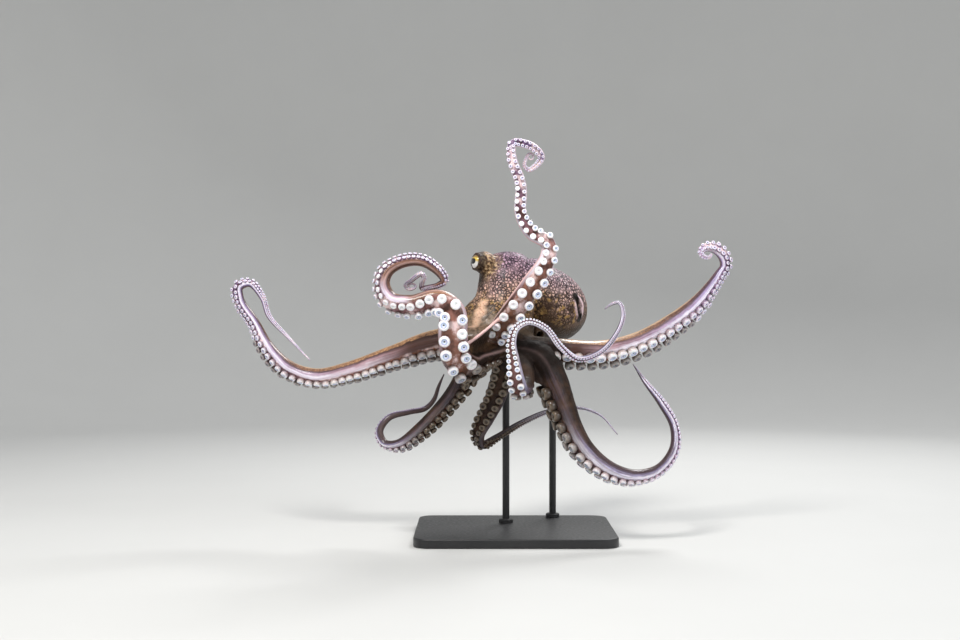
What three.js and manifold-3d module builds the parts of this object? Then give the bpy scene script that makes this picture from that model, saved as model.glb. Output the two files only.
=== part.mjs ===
// A common octopus, life size, swimming with its arms spread, on a display stand.
// Millimetres, +Z up. The animal is set out in its own frame, with Z measured from the floor and
// X and Y from a point below its crown, and then moved so that its weight is over the stand.
import * as THREE from 'three';
import { mergeVertices } from 'three/addons/utils/BufferGeometryUtils.js';
import Module from 'manifold-3d';

const wasm = await Module();
wasm.setup();

// ---------------------------------------------------------------- driving dimensions
const gap = 0.3;                          // left between pieces that touch
const animalShift = [0, -40, 0];          // from under the crown to the middle of the stand

const mantle = { centre: [49, 125, 359], axis: [0.68, 0.6, -0.42], length: 162, width: 113 };
// Head, neck and crown in level rings: height, how far across and back the ring's middle is, and half
// its width and depth. The neck spreads towards the right into the shoulder that two arms grow from.
const headRings = [[266, -2, 2, 10, 8], [272, -2, 3, 20, 16], [284, -3, 6, 31, 24],
  [300, -13, 12, 41, 33], [318, -21, 24, 51, 36], [338, -26, 38, 56, 38], [352, -21, 46, 53, 39],
  [366, -13, 54, 47, 41], [384, -9, 61, 47, 42], [406, -9, 65, 44, 38], [422, -9, 66, 36, 30],
  [432, -9, 66, 23, 20], [436, -9, 66, 8, 7]];
const eye = { radius: 12.5, bump: 17.5, setIn: 9 };
const eyes = {
  right: { centre: [-54, 42, 419], look: [-0.86, -0.5, 0.1] },
  left: { centre: [36, 86, 412], look: [0.9, 0.32, 0.28] },
};
const headCorners = 12;
const funnel = {
  root: [12, 88, 322], mouth: [40, 48, 306], rootRadius: 15, mouthRadius: 9, wall: 3, hollow: 0.4,
};
// The discs that part the trunk into mantle, head and web: where, which way they face and how wide.
const partings = [
  { centre: [22, 86, 372], direction: mantle.axis, radius: 75 },
  { centre: [-24, 32, 330], direction: [0.1, 0.6, 0.8], radius: 80 },
];
const nodeShare = { base: 0.36, middle: 0.7 };   // where each arm is divided, as shares of its length
// Sucker sizes are shares of the arm's width where the sucker stands: its rim, its foot, its height,
// how far aside and out from the middle line it starts, and the step to the next one of the other row.
const suckers = { perArm: 9, sides: 5, rim: 0.46, foot: 0.31, height: 0.38, splay: 0.2,
  aside: 0.23, out: 0.2, step: 0.33, room: 0.34, start: 0.05 };
const base = { width: 300, depth: 240, thickness: 14, corner: 24, bevel: 2 };
const rod = { radius: 5.5, collarRadius: 11, collarHeight: 6, collarBevel: 1.5, reach: 360 };
const rodFeet = { stand_rod_mantle: [64, 140], stand_rod_head: [-12, 82] };

// Each arm: the places its middle line passes, from inside the crown outwards, with its width at
// each; where its sucker side looks, at shares of its length; the share at which it leaves the
// crown; and how a coiled end runs on from the last place.
const arms = {
  arm_left_1: {
    route: [[-34, -12, 290, 28], [-23, -32, 318, 30], [-6, -50, 341, 34], [24, -60, 384, 31],
      [46, -60, 420, 24], [46, -60, 442, 22], [22, -60, 457, 20], [7, -60, 484, 17],
      [7, -60, 526, 16], [-6, -57, 566, 14], [-4, -51, 588, 12], [24, -45, 584, 12],
      [38, -40, 568, 10], [20, -36, 551, 7], [13, -38, 557, 5.5], [17, -40, 571, 4.5]],
    coil: { centreTo: [1, 0, 0.2], radius: 5, endRadius: 3.5, turns: 0.9 },
    facing: [[0, -0.2, -0.95, -0.2], [0.1, 0.2, -0.95, -0.1], [0.3, 0.35, -0.9, -0.15],
      [0.38, 0.2, -0.9, 0.3], [0.5, 0, -1, 0.2], [0.8, -0.3, -0.95, 0], [1, 0, -1, 0.3]],
    leaves: 0.1,
  },
  arm_left_2: {
    route: [[10, 0, 288, 42], [68, 10, 283, 40], [130, 25, 281, 37], [185, 38, 293, 36],
      [236, 48, 319, 34], [282, 56, 354, 28], [306, 62, 382, 21], [318, 65, 399, 18],
      [327, 66, 412, 17], [326, 66, 426, 18], [318, 66, 437, 18], [306, 66, 443, 16],
      [294, 63, 441, 13], [289, 58, 433, 9], [294, 54, 427, 7], [301, 52, 427, 5], [304, 52, 432, 3]],
    facing: [[0, 0, -0.58, -0.81], [0.45, 0.05, -0.58, -0.81], [0.65, 0.4, -0.48, -0.78],
      [0.76, 0.8, -0.45, -0.4], [0.83, 0.75, -0.65, 0.1], [0.88, 0.4, -0.85, 0.4],
      [0.93, -0.2, -0.85, 0.45], [0.96, -0.6, -0.75, 0], [1, 0.2, -0.8, -0.5]],
    leaves: 0.14,
  },
  arm_left_3: {
    route: [[2, -2, 284, 44], [38, -8, 272, 49], [57, -14, 236, 49], [70, -20, 200, 43],
      [82, -27, 170, 38], [101, -33, 138, 35], [136, -36, 109, 30], [176, -32, 98, 24],
      [214, -22, 108, 19], [238, -8, 137, 17], [240, 8, 170, 15], [224, 25, 203, 14],
      [200, 42, 236, 8], [184, 60, 262, 1.6]],
    facing: [[0, -0.9, 0, -0.3], [0.2, -1, -0.2, -0.2], [0.42, -0.75, -0.3, -0.6],
      [0.58, 0.1, -0.25, -0.95], [0.7, 0.85, -0.3, -0.4], [0.85, 0.85, -0.4, 0.3],
      [1, 0.7, -0.4, 0.5]],
    leaves: 0.14,
    firstSucker: 0.17,
  },
  arm_left_4: {
    route: [[-4, -8, 280, 34], [12, -35, 258, 30], [12, -60, 236, 28], [5, -82, 229, 26],
      [0, -99, 244, 24], [-4, -104, 270, 18], [-7, -105, 298, 13], [0, -104, 318, 10],
      [18, -102, 327, 9], [41, -100, 317, 9], [62, -97, 292, 9], [88, -94, 275, 9],
      [118, -88, 283, 8], [142, -79, 307, 7], [155, -67, 337, 6], [150, -60, 355, 5],
      [138, -54, 352, 4], [130, -50, 346, 1.6]],
    facing: [[0, 0, 0.2, -1], [0.12, 0, 0.9, -0.3], [0.2, 0, -0.4, -0.9], [0.27, -0.3, -1, 0],
      [0.45, -0.5, -0.8, 0.5], [0.55, 0.5, -0.7, 0.6], [0.7, 0, -0.6, -0.8], [0.85, 0.9, -0.5, 0],
      [0.95, 0.1, -0.5, 0.9], [1, -0.8, -0.5, 0.5]],
    leaves: 0.09,
    firstSucker: 0.22,
  },
  arm_right_4: {
    route: [[-14, 5, 280, 38], [-19, 15, 247, 34], [-28, 25, 215, 31], [-44, 35, 180, 27],
      [-55, 44, 153, 20], [-50, 53, 137, 15], [-26, 58, 149, 11], [9, 59, 170, 9],
      [53, 58, 189, 7], [98, 55, 195, 5], [132, 50, 184, 3.5], [158, 40, 155, 1.6]],
    facing: [[0, 0, -0.9, -0.3], [0.25, -0.3, -0.9, 0], [0.4, -0.9, -0.4, -0.3],
      [0.48, -0.2, -0.5, -0.9], [0.8, 0, -0.8, -0.6], [1, -0.3, -0.8, -0.6]],
    leaves: 0.1,
    firstSucker: 0.22,
  },
  arm_right_3: {
    route: [[-44, -4, 300, 28], [-60, -11, 280, 30], [-70, -15, 259, 33], [-80, -15, 236, 32],
      [-99, -12, 209, 28], [-142, -8, 164, 25], [-174, -2, 142, 20], [-196, 5, 144, 14],
      [-204, 11, 162, 12], [-190, 17, 182, 10], [-160, 24, 190, 8], [-136, 31, 195, 8],
      [-123, 30, 208, 7], [-115, 24, 230, 5], [-107, 20, 248, 1.6]],
    facing: [[0, 0.3, -0.7, -0.6], [0.25, 0.75, -0.45, -0.45], [0.42, 0.5, -0.45, -0.75],
      [0.54, 0, -0.35, -0.93], [0.6, -0.4, 0.2, -0.9], [0.66, -0.7, 0.65, -0.2],
      [0.76, -0.2, 0.9, 0.4], [1, 0.5, 0.8, 0.3]],
    leaves: 0.13,
  },
  arm_right_2: {
    route: [[-30, 0, 300, 48], [-115, 5, 295, 46], [-181, 20, 275, 37], [-250, 35, 252, 32],
      [-302, 45, 242, 29], [-346, 50, 254, 28], [-380, 55, 285, 25], [-401, 58, 325, 18],
      [-424, 60, 359, 17], [-426, 60, 381, 17], [-408, 62, 387, 13], [-389, 63, 364, 9],
      [-379, 61, 336, 7.5], [-348, 54, 303, 5], [-313, 45, 268, 1.6]],
    facing: [[0, 0, -0.35, -0.93], [0.42, 0, -0.25, -0.97], [0.51, -0.35, -0.4, -0.85],
      [0.58, -0.8, -0.6, -0.15], [0.68, -0.9, -0.45, 0.1], [0.76, 0, -0.45, 0.9],
      [0.82, 0.85, -0.45, 0.3], [1, 0.6, -0.6, 0.4]],
    leaves: 0.12,
  },
  arm_right_1: {
    route: [[-28, -10, 286, 36], [-66, -58, 264, 39], [-87, -94, 276, 41], [-91, -109, 309, 41],
      [-92, -113, 340, 38], [-111, -115, 357, 33], [-150, -113, 351, 30], [-180, -110, 357, 28],
      [-192, -106, 380, 25], [-186, -102, 400, 23], [-165, -98, 413, 20], [-136, -93, 415, 18],
      [-113, -88, 401, 15], [-104, -83, 387, 12], [-113, -77, 380, 9], [-128, -70, 377, 8],
      [-137, -64, 376, 7.5], [-137, -61, 383, 7], [-134, -60, 391, 7], [-138, -61, 397, 7],
      [-146, -63, 392, 7], [-152, -65, 387, 6], [-158, -69, 383, 5.5]],
    coil: { centreTo: [0.7, -0.55, -0.43], radius: 9, endRadius: 3.5, turns: 1.25 },
    facing: [[0, -0.2, -0.3, -0.9], [0.12, -0.2, -0.9, -0.5], [0.2, 0.1, -1, 0],
      [0.31, 0, -0.9, 0.2], [0.36, -0.1, -0.9, -0.4], [0.43, -0.1, -0.7, -0.7],
      [0.48, -0.6, -0.5, -0.6], [0.53, -0.93, -0.35, 0.05], [0.6, -0.4, -0.4, 0.8],
      [0.66, 0.1, -0.4, 0.9], [0.74, 0.9, -0.35, 0.2], [0.785, 0, -0.5, -0.9],
      [0.83, 0.8, -0.5, 0], [0.87, 0, -0.5, 0.9], [1, -0.8, -0.5, 0.4]],
    leaves: 0.11,
  },
};
const order = ['arm_left_1', 'arm_left_2', 'arm_left_3', 'arm_left_4',
  'arm_right_4', 'arm_right_3', 'arm_right_2', 'arm_right_1'];
const web = { start: 0.03, sag: 0.5, thickness: 3.6, across: 3, outward: 2, feel: 0.05 };
// Where a web between an arm and the next differs: the shares of the two arms' lengths at which it
// starts and ends, how deep its edge is hollowed, and how far from the arms' middle lines it joins
// them, as shares of their width. Between the two front arms it is a sail with a nearly straight edge.
const webs = {
  arm_right_1: { starts: [0.09, 0.02], ends: [0.225, 0.125], margins: [0.2, -0.2], sag: 0.08 },
  arm_right_4: { starts: [0.01, 0.01], ends: [0.03, 0.03] },
  arm_left_3: { ends: [0.21, 0.13], margins: [0, 0.1], sag: 0.12 },
};
const tipWidth = 1.6;
const ringTurn = 0.45;                    // the most an arm turns between two rings, in radians
const ringRun = 10;                       // and the furthest they stand apart, past the arm's width
const ringWalk = 2;                       // steps in which that is measured

// ---------------------------------------------------------------- helpers
const vec = ([x, y, z]) => new THREE.Vector3(x, y, z);

// A closed geometry with shared vertices becomes a solid that can be joined and cut.
function solid(geometry) {
  const bare = geometry.clone();
  bare.deleteAttribute('normal');
  bare.deleteAttribute('uv');
  const merged = mergeVertices(bare, 1e-4);
  return new wasm.Manifold(new wasm.Mesh({
    numProp: 3,
    vertProperties: new Float32Array(merged.attributes.position.array),
    triVerts: new Uint32Array(merged.index.array),
  }));
}

function geometryOf(body) {
  const mesh = body.getMesh();
  const geometry = new THREE.BufferGeometry();
  geometry.setAttribute('position', new THREE.BufferAttribute(mesh.vertProperties, 3));
  geometry.setIndex(new THREE.BufferAttribute(mesh.triVerts, 1));
  geometry.computeVertexNormals();
  return geometry;
}

function join(list) {
  return list.reduce((whole, piece) => whole.add(piece));
}

// The largest piece of a cut body; slivers are dropped.
function largest(body) {
  return body.decompose().reduce((a, b) => (a.volume() > b.volume() ? a : b));
}

// A closed tube through rings of points; every ring has the same number of points.
function loft(rings) {
  const around = rings[0].length;
  const points = [];
  const faces = [];
  rings.forEach((ring) => ring.forEach((p) => points.push(p.x, p.y, p.z)));
  for (let i = 0; i + 1 < rings.length; i += 1) {
    for (let j = 0; j < around; j += 1) {
      const a = i * around + j;
      const b = i * around + ((j + 1) % around);
      faces.push(a, b, b + around, a, b + around, a + around);
    }
  }
  const closeEnd = (ring, start, flip) => {
    const middle = ring.reduce((sum, p) => sum.add(p), new THREE.Vector3()).divideScalar(around);
    const centre = points.length / 3;
    points.push(middle.x, middle.y, middle.z);
    for (let j = 0; j < around; j += 1) {
      const a = start + j;
      const b = start + ((j + 1) % around);
      faces.push(...(flip ? [centre, b, a] : [centre, a, b]));
    }
  };
  closeEnd(rings[0], 0, true);
  closeEnd(rings[rings.length - 1], (rings.length - 1) * around, false);
  const geometry = new THREE.BufferGeometry();
  geometry.setAttribute('position', new THREE.Float32BufferAttribute(points, 3));
  geometry.setIndex(faces);
  return geometry;
}

// Turns a shape made along +Z so that it lies along a direction, and moves it into place.
function place(geometry, direction, position) {
  const turn = new THREE.Quaternion().setFromUnitVectors(
    new THREE.Vector3(0, 0, 1), vec(direction).normalize());
  geometry.applyQuaternion(turn);
  geometry.translate(...position);
  return geometry;
}

// ---------------------------------------------------------------- arms
// The end of an arm that coils: a spiral that starts where the route stops and runs on from it.
function coilPoints(route, { centreTo, radius, endRadius, turns }) {
  const end = vec(route[route.length - 1]);
  const ahead = end.clone().sub(vec(route[route.length - 2])).normalize();
  const inward = vec(centreTo);
  inward.addScaledVector(ahead, -inward.dot(ahead)).normalize();
  const centre = end.clone().addScaledVector(inward, radius);
  const steps = Math.ceil(turns * 8);
  const points = [];
  for (let i = 1; i <= steps; i += 1) {
    const share = i / steps;
    const angle = share * turns * 2 * Math.PI;
    const reach = radius + (endRadius - radius) * share;
    points.push(centre.clone()
      .addScaledVector(inward, -reach * Math.cos(angle))
      .addScaledVector(ahead, reach * Math.sin(angle)));
  }
  return points;
}

// The middle line of an arm and its width at each of the line's points.
function layOut(arm) {
  const points = arm.route.map(vec);
  const widths = arm.route.map(([, , , width]) => width);
  if (arm.coil) {
    const turns = coilPoints(arm.route, arm.coil);
    const from = widths[widths.length - 1];
    turns.forEach((point, i) => widths.push(from + ((tipWidth - from) * (i + 1)) / turns.length));
    points.push(...turns);
  }
  arm.line = new THREE.CatmullRomCurve3(points, false, 'centripetal');
  arm.line.arcLengthDivisions = 600;
  arm.length = arm.line.getLength();
  arm.widths = widths;
}

function facingAt(arm, share) {
  const keys = arm.facing;
  const next = Math.max(1, keys.findIndex((key) => key[0] >= share));
  const [from, to] = [keys[next - 1], keys[next]];
  const part = (share - from[0]) / (to[0] - from[0]);
  return vec(from.slice(1)).lerp(vec(to.slice(1)), part).normalize();
}

function widthAt(arm, share) {
  const step = arm.line.getUtoTmapping(share) * (arm.widths.length - 1);
  const low = Math.min(Math.floor(step), arm.widths.length - 2);
  return arm.widths[low] + (arm.widths[low + 1] - arm.widths[low]) * (step - low);
}

// Where an arm's middle is, which way it runs, which way its suckers look and which way is across.
function station(arm, share) {
  const at = arm.line.getPointAt(share);
  const along = arm.line.getTangentAt(share);
  const suckerSide = facingAt(arm, share);
  suckerSide.addScaledVector(along, -suckerSide.dot(along)).normalize();
  const across = new THREE.Vector3().crossVectors(along, suckerSide);
  return { at, along, suckerSide, across, width: widthAt(arm, share) };
}

// The cross-section as shares of half the width: across, and towards the sucker side. The thin
// end of an arm has fewer corners.
const fullSection = [[0, 0.62], [0.5, 0.74], [0.97, 0.08], [0.74, -0.6], [0, -0.94],
  [-0.74, -0.6], [-0.97, 0.08], [-0.5, 0.74]];
const tipSection = [[0.55, 0.7], [0.97, -0.05], [0.55, -0.85],
  [-0.55, -0.85], [-0.97, -0.05], [-0.55, 0.7]];

function ring(arm, share, section, grow) {
  const { at, suckerSide, across, width } = station(arm, share);
  const half = width / 2 + grow;
  return section.map(([side, out]) => at.clone()
    .addScaledVector(across, side * half)
    .addScaledVector(suckerSide, out * half));
}

// Where the rings of a stretch stand: close together in a bend, wide apart where the arm is straight.
function ringShares(arm, from, to) {
  const shares = [from];
  const walk = ringWalk / arm.length;
  let turned = 0;
  let before = arm.line.getTangentAt(from);
  for (let share = from + walk; share < to - walk; share += walk) {
    const along = arm.line.getTangentAt(share);
    turned += along.angleTo(before);
    before = along;
    const run = (share - shares[shares.length - 1]) * arm.length;
    if (turned > ringTurn || run > ringRun + widthAt(arm, share)) {
      shares.push(share);
      turned = 0;
    }
  }
  shares.push(to);
  return shares;
}

// A stretch of an arm from one share of its length to another.
function stretch(arm, from, to, grow = 0) {
  const section = to === 1 ? tipSection : fullSection;
  return solid(loft(ringShares(arm, from, to).map((share) => ring(arm, share, section, grow))));
}

// A sucker: a low cup on a short neck, wider at its rim.
function sucker(arm, share, side) {
  const { at, suckerSide, across, width } = station(arm, share);
  const height = width * suckers.height;
  const out = suckerSide.clone().addScaledVector(across, side * suckers.splay).normalize();
  const foot = at.clone()
    .addScaledVector(across, side * width * suckers.aside)
    .addScaledVector(suckerSide, width * suckers.out);
  const cup = new THREE.CylinderGeometry(
    (width * suckers.rim) / 2, (width * suckers.foot) / 2, height, suckers.sides);
  cup.rotateX(Math.PI / 2);
  cup.translate(0, 0, height / 2);
  return solid(place(cup, out.toArray(), foot.toArray()));
}

// The big suckers near the root stand in two rows; each belongs to the length it grows from.
function suckerShares(arm) {
  const shares = [];
  let share = arm.firstSucker ?? arm.leaves + suckers.start;
  while (shares.length < suckers.perArm) {
    shares.push(share);
    share += (widthAt(arm, share) * suckers.step) / arm.length;
  }
  return shares;
}

function armLength(arm, from, to) {
  const body = [stretch(arm, from, to)];
  suckerShares(arm).forEach((share, i) => {
    const room = (widthAt(arm, share) * suckers.room) / arm.length;
    if (share > from + room && share < to - room) body.push(sucker(arm, share, i % 2 ? 1 : -1));
  });
  return join(body);
}

Object.values(arms).forEach(layOut);

// ---------------------------------------------------------------- trunk
// The mantle: a sac turned about its own axis, fuller towards its closed end.
function mantleSolid(grow = 0) {
  const profile = [];
  const rows = 10;
  for (let i = 0; i <= rows; i += 1) {
    const angle = (i / rows) * Math.PI;
    const along = -Math.cos(angle);
    const fullness = 1 + 0.1 * along;
    const radius = Math.sin(angle) * fullness * (mantle.width / 2 + grow);
    profile.push(new THREE.Vector2(Math.max(radius, 0), along * (mantle.length / 2 + grow)));
  }
  profile[0].x = 0;
  profile[rows].x = 0;
  const sac = new THREE.LatheGeometry(profile, 16);
  sac.rotateX(Math.PI / 2);
  return solid(place(sac, mantle.axis, mantle.centre));
}

// The head, the neck and the crown that the arms grow from.
function headSolid() {
  const corner = ([height, across, back, halfWidth, halfDepth], i) => {
    const angle = (i / headCorners) * 2 * Math.PI;
    return new THREE.Vector3(
      across + halfWidth * Math.cos(angle), back + halfDepth * Math.sin(angle), height);
  };
  const rings = headRings.map((level) => Array.from({ length: headCorners }, (_, i) => corner(level, i)));
  return solid(loft(rings));
}

function eyeBump({ centre, look }) {
  const outward = vec(look).normalize();
  const middle = vec(centre).addScaledVector(outward, -eye.setIn);
  const bump = new THREE.SphereGeometry(eye.bump, 11, 7);
  bump.translate(...middle.toArray());
  return solid(bump);
}

function eyeBall({ centre }, grow = 0) {
  const ball = new THREE.SphereGeometry(eye.radius + grow, 11, 7);
  ball.translate(...centre);
  return solid(ball);
}

// The funnel: a tapered tube with an open mouth, under the neck.
function funnelSolid(grow = 0) {
  const root = vec(funnel.root);
  const run = vec(funnel.mouth).sub(root);
  const length = run.length();
  const bore = funnel.mouthRadius - funnel.wall;
  const profile = [
    [0, 0], [funnel.rootRadius + grow, 0], [funnel.mouthRadius + grow, length + grow],
    [bore, length + grow], [bore, length * funnel.hollow], [0, length * funnel.hollow],
  ].map(([x, y]) => new THREE.Vector2(x, y));
  const tube = new THREE.LatheGeometry(profile, 10);
  tube.rotateX(Math.PI / 2);
  return solid(place(tube, run.normalize().toArray(), funnel.root));
}

// A stretch of web between two neighbouring arms, hollowed at its free edge.
function membrane(first, second, own = {}) {
  const pair = [first, second];
  const leaving = pair.map((arm) => arm.leaves - (2 * gap) / arm.length);
  const { starts = [web.start, web.start], ends = leaving, margins = [0, 0], sag = web.sag } = own;
  const edgePoint = (side, reach) => {
    const share = starts[side] + reach * (ends[side] - starts[side]);
    const { at, across, width } = station(pair[side], share);
    return at.addScaledVector(across, margins[side] * width);
  };
  const corner = (u, v) => {
    const reach = v * (1 - sag * Math.sin(Math.PI * u));
    return edgePoint(0, reach).lerp(edgePoint(1, reach), u);
  };
  const lifted = (u, v, side) => {
    const across = corner(u + web.feel, v).sub(corner(u - web.feel, v));
    const outward = corner(u, v + web.feel).sub(corner(u, v - web.feel));
    const normal = new THREE.Vector3().crossVectors(across, outward).normalize();
    return corner(u, v).addScaledVector(normal, (side * web.thickness) / 2);
  };
  const rings = [];
  for (let i = 0; i <= web.across; i += 1) {
    const ringPoints = [];
    for (let j = 0; j <= web.outward; j += 1) {
      ringPoints.push(lifted(i / web.across, j / web.outward, -1));
    }
    for (let j = web.outward; j >= 0; j -= 1) {
      ringPoints.push(lifted(i / web.across, j / web.outward, 1));
    }
    rings.push(ringPoints);
  }
  return solid(loft(rings));
}

// The whole trunk, with the first stretch of every arm and the web between them.
function trunkSolid() {
  const stubs = order.map((name) => stretch(arms[name], 0, arms[name].leaves - gap / arms[name].length));
  const membranes = order.map((name, i) => {
    const next = arms[order[(i + 1) % order.length]];
    return membrane(arms[name], next, webs[name]);
  });
  return join([mantleSolid(), headSolid(), eyeBump(eyes.right), eyeBump(eyes.left), ...stubs, ...membranes]);
}

// A thin disc that parts the trunk across its middle.
function partingDisc({ centre, direction, radius }) {
  const disc = new THREE.CylinderGeometry(radius, radius, gap, 12);
  disc.rotateX(Math.PI / 2);
  return solid(place(disc, direction, centre));
}

// ---------------------------------------------------------------- stand
function standBase() {
  const [x, y, r] = [base.width / 2 - base.bevel, base.depth / 2 - base.bevel, base.corner];
  const outline = new THREE.Shape();
  outline.moveTo(-x + r, -y);
  outline.absarc(x - r, -y + r, r, -Math.PI / 2, 0);
  outline.absarc(x - r, y - r, r, 0, Math.PI / 2);
  outline.absarc(-x + r, y - r, r, Math.PI / 2, Math.PI);
  outline.absarc(-x + r, -y + r, r, Math.PI, Math.PI * 1.5);
  const plate = new THREE.ExtrudeGeometry(outline, {
    depth: base.thickness - 2 * base.bevel, bevelEnabled: true, bevelThickness: base.bevel,
    bevelSize: base.bevel, bevelSegments: 1, curveSegments: 4,
  });
  plate.translate(0, 0, base.bevel);
  return solid(plate);
}

// A rod with a collar at its foot, running up to the animal's underside.
function standRod([x, y], body) {
  const foot = base.thickness + gap;
  const profile = [
    [0, 0], [rod.collarRadius, 0], [rod.collarRadius, rod.collarHeight - rod.collarBevel],
    [rod.collarRadius - rod.collarBevel, rod.collarHeight], [rod.radius, rod.collarHeight],
    [rod.radius, rod.reach - foot], [0, rod.reach - foot],
  ].map(([r, z]) => new THREE.Vector2(r, z));
  const turned = new THREE.LatheGeometry(profile, 10);
  turned.rotateX(Math.PI / 2);
  turned.translate(x, y, foot);
  const pieces = solid(turned).subtract(body).decompose();
  const footOf = (piece) => piece.boundingBox().min[2];
  return pieces.reduce((low, piece) => (footOf(piece) < footOf(low) ? piece : low));
}

// ---------------------------------------------------------------- the model
const finishes = {
  mantle: { color: 0x8a6f6c, roughness: 0.45, metalness: 0 },
  head: { color: 0x93674a, roughness: 0.45, metalness: 0 },
  web: { color: 0x8f5f3e, roughness: 0.45, metalness: 0 },
  arm: { color: 0x9a6a50, roughness: 0.42, metalness: 0 },
  eye: { color: 0xc9b98a, roughness: 0.1, metalness: 0 },
  stand: { color: 0x1c1c1e, roughness: 0.5, metalness: 0.6 },
};

const model = new THREE.Group();
const animal = new THREE.Group();
const stand = new THREE.Group();
animal.position.set(...animalShift);
model.add(animal, stand);

function addNode(group, name, body, finish) {
  const node = new THREE.Mesh(geometryOf(body), new THREE.MeshStandardMaterial(finishes[finish]));
  node.name = name;
  group.add(node);
}

const baseLengths = order.map((name) => stretch(arms[name], arms[name].leaves, nodeShare.base, gap));
const trunk = trunkSolid();
const parted = trunk
  .subtract(join([eyeBall(eyes.right, gap), eyeBall(eyes.left, gap), funnelSolid(gap)]))
  .subtract(join(baseLengths))
  .subtract(join(partings.map(partingDisc)));
const trunkNodes = ['mantle', 'head', 'web'];
const bySize = parted.decompose().sort((a, b) => b.volume() - a.volume()).slice(0, trunkNodes.length);
const byDepth = bySize.sort((a, b) => b.boundingBox().max[1] - a.boundingBox().max[1]);
trunkNodes.forEach((name, i) => addNode(animal, name, byDepth[i], name));
addNode(animal, 'eye_right', eyeBall(eyes.right), 'eye');
addNode(animal, 'eye_left', eyeBall(eyes.left), 'eye');
addNode(animal, 'funnel', largest(funnelSolid().subtract(mantleSolid(gap))), 'head');

order.forEach((name) => {
  const arm = arms[name];
  const step = gap / arm.length;
  addNode(animal, `${name}_base`, armLength(arm, arm.leaves, nodeShare.base), 'arm');
  addNode(animal, `${name}_middle`, armLength(arm, nodeShare.base + step, nodeShare.middle), 'arm');
  addNode(animal, `${name}_tip`, armLength(arm, nodeShare.middle + step, 1), 'arm');
});

const moved = trunk.add(mantleSolid(gap)).translate(animalShift);
addNode(stand, 'stand_base', standBase(), 'stand');
Object.entries(rodFeet).forEach(([name, [x, y]]) => {
  addNode(stand, name, standRod([x + animalShift[0], y + animalShift[1]], moved), 'stand');
});

export default model;
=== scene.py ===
# %% [markdown]
# # A life-size octopus for a museum shelf
# The animal swims with its arms spread, so there is no flat side to start from and hardly a straight
# line on it. The solids of the construction give every place and size. This lesson makes the looks
# round them: one wet skin from the mantle to the tips of the arms, rows of suckers, and two real eyes.

# %% Load the frame
import math
import random

import bmesh
import bpy
import numpy as np
from mathutils import Matrix, Quaternion, Vector, noise


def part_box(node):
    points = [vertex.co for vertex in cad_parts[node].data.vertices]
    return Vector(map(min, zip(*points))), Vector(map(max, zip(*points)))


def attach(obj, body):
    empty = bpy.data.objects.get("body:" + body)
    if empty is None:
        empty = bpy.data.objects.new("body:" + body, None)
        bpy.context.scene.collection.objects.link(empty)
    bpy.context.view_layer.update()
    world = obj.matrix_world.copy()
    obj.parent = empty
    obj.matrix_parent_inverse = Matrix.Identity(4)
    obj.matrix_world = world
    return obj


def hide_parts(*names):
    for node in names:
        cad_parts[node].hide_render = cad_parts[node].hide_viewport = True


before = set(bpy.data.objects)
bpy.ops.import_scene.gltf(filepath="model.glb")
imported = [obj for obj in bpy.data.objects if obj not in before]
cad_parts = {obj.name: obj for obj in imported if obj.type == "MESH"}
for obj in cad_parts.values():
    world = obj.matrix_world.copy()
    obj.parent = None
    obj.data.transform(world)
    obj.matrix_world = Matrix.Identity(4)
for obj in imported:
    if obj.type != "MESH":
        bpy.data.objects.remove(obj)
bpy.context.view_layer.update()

# %% [markdown]
# ## The camera
# The octopus is seen level, from in front, a little over two metres away. The camera comes first,
# because every later choice of detail depends on how large a thing shows in the picture.

# %% The camera
EYE_LEVEL = 0.330
CAMERA_PLACE = Vector((-0.0525, -2.040, EYE_LEVEL))


def add_object(name, data):
    """Puts an object in the scene."""
    made = bpy.data.objects.new(name, data)
    bpy.context.scene.collection.objects.link(made)
    return made


camera = add_object("camera", bpy.data.cameras.new("camera"))
camera.data.lens = 50
camera.data.sensor_width = 36
camera.location = CAMERA_PLACE
camera.rotation_euler = (math.radians(90), 0, 0)
bpy.context.scene.camera = camera
print("camera:", [round(v, 3) for v in camera.location], "lens", camera.data.lens)

# %% [markdown]
# ## The animal's own frame
# A soft body is easiest to think of in millimetres, measured from below its own crown. Each piece of
# the animal is shaped there, and one matrix takes it to the stand's frame in metres when it is done.

# %% The animal's frame
TO_STAND = Matrix.Diagonal((0.001, 0.001, 0.001, 1)) @ Matrix.Translation((0, -40, 0))
FLESH = sorted(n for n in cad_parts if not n.startswith(("stand_", "eye_")))


def finish_piece(name, mesh, material):
    """Brings a mesh made in millimetres to the stand's frame and lets it ride on the body."""
    mesh.transform(TO_STAND)
    mesh.shade_smooth()
    mesh.materials.append(material)
    piece = add_object(name, mesh)
    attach(piece, "root")
    return piece


def mesh_of(bm, name):
    """The finished mesh of a bmesh, which is freed."""
    mesh = bpy.data.meshes.new(name)
    bm.to_mesh(mesh)
    bm.free()
    return mesh


def spun(profile, steps, merge):
    """A profile of (distance, height) corners spun once round the Z axis."""
    bm = bmesh.new()
    verts = [bm.verts.new((distance, 0, height)) for distance, height in profile]
    edges = [bm.edges.new(pair) for pair in zip(verts, verts[1:])]
    bmesh.ops.spin(bm, geom=verts + edges, cent=(0, 0, 0), axis=(0, 0, 1), angle=math.tau, steps=steps,
                   use_merge=True)
    bmesh.ops.remove_doubles(bm, verts=bm.verts, dist=merge)
    bmesh.ops.recalc_face_normals(bm, faces=bm.faces)
    return bm


def add_part(bm, part, place):
    """Puts one bmesh, moved to its place, into another."""
    bmesh.ops.transform(part, matrix=place, verts=part.verts)
    mesh = mesh_of(part, "part")
    bm.from_mesh(mesh)
    bpy.data.meshes.remove(mesh)


print("nodes of flesh:", len(FLESH))

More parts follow.
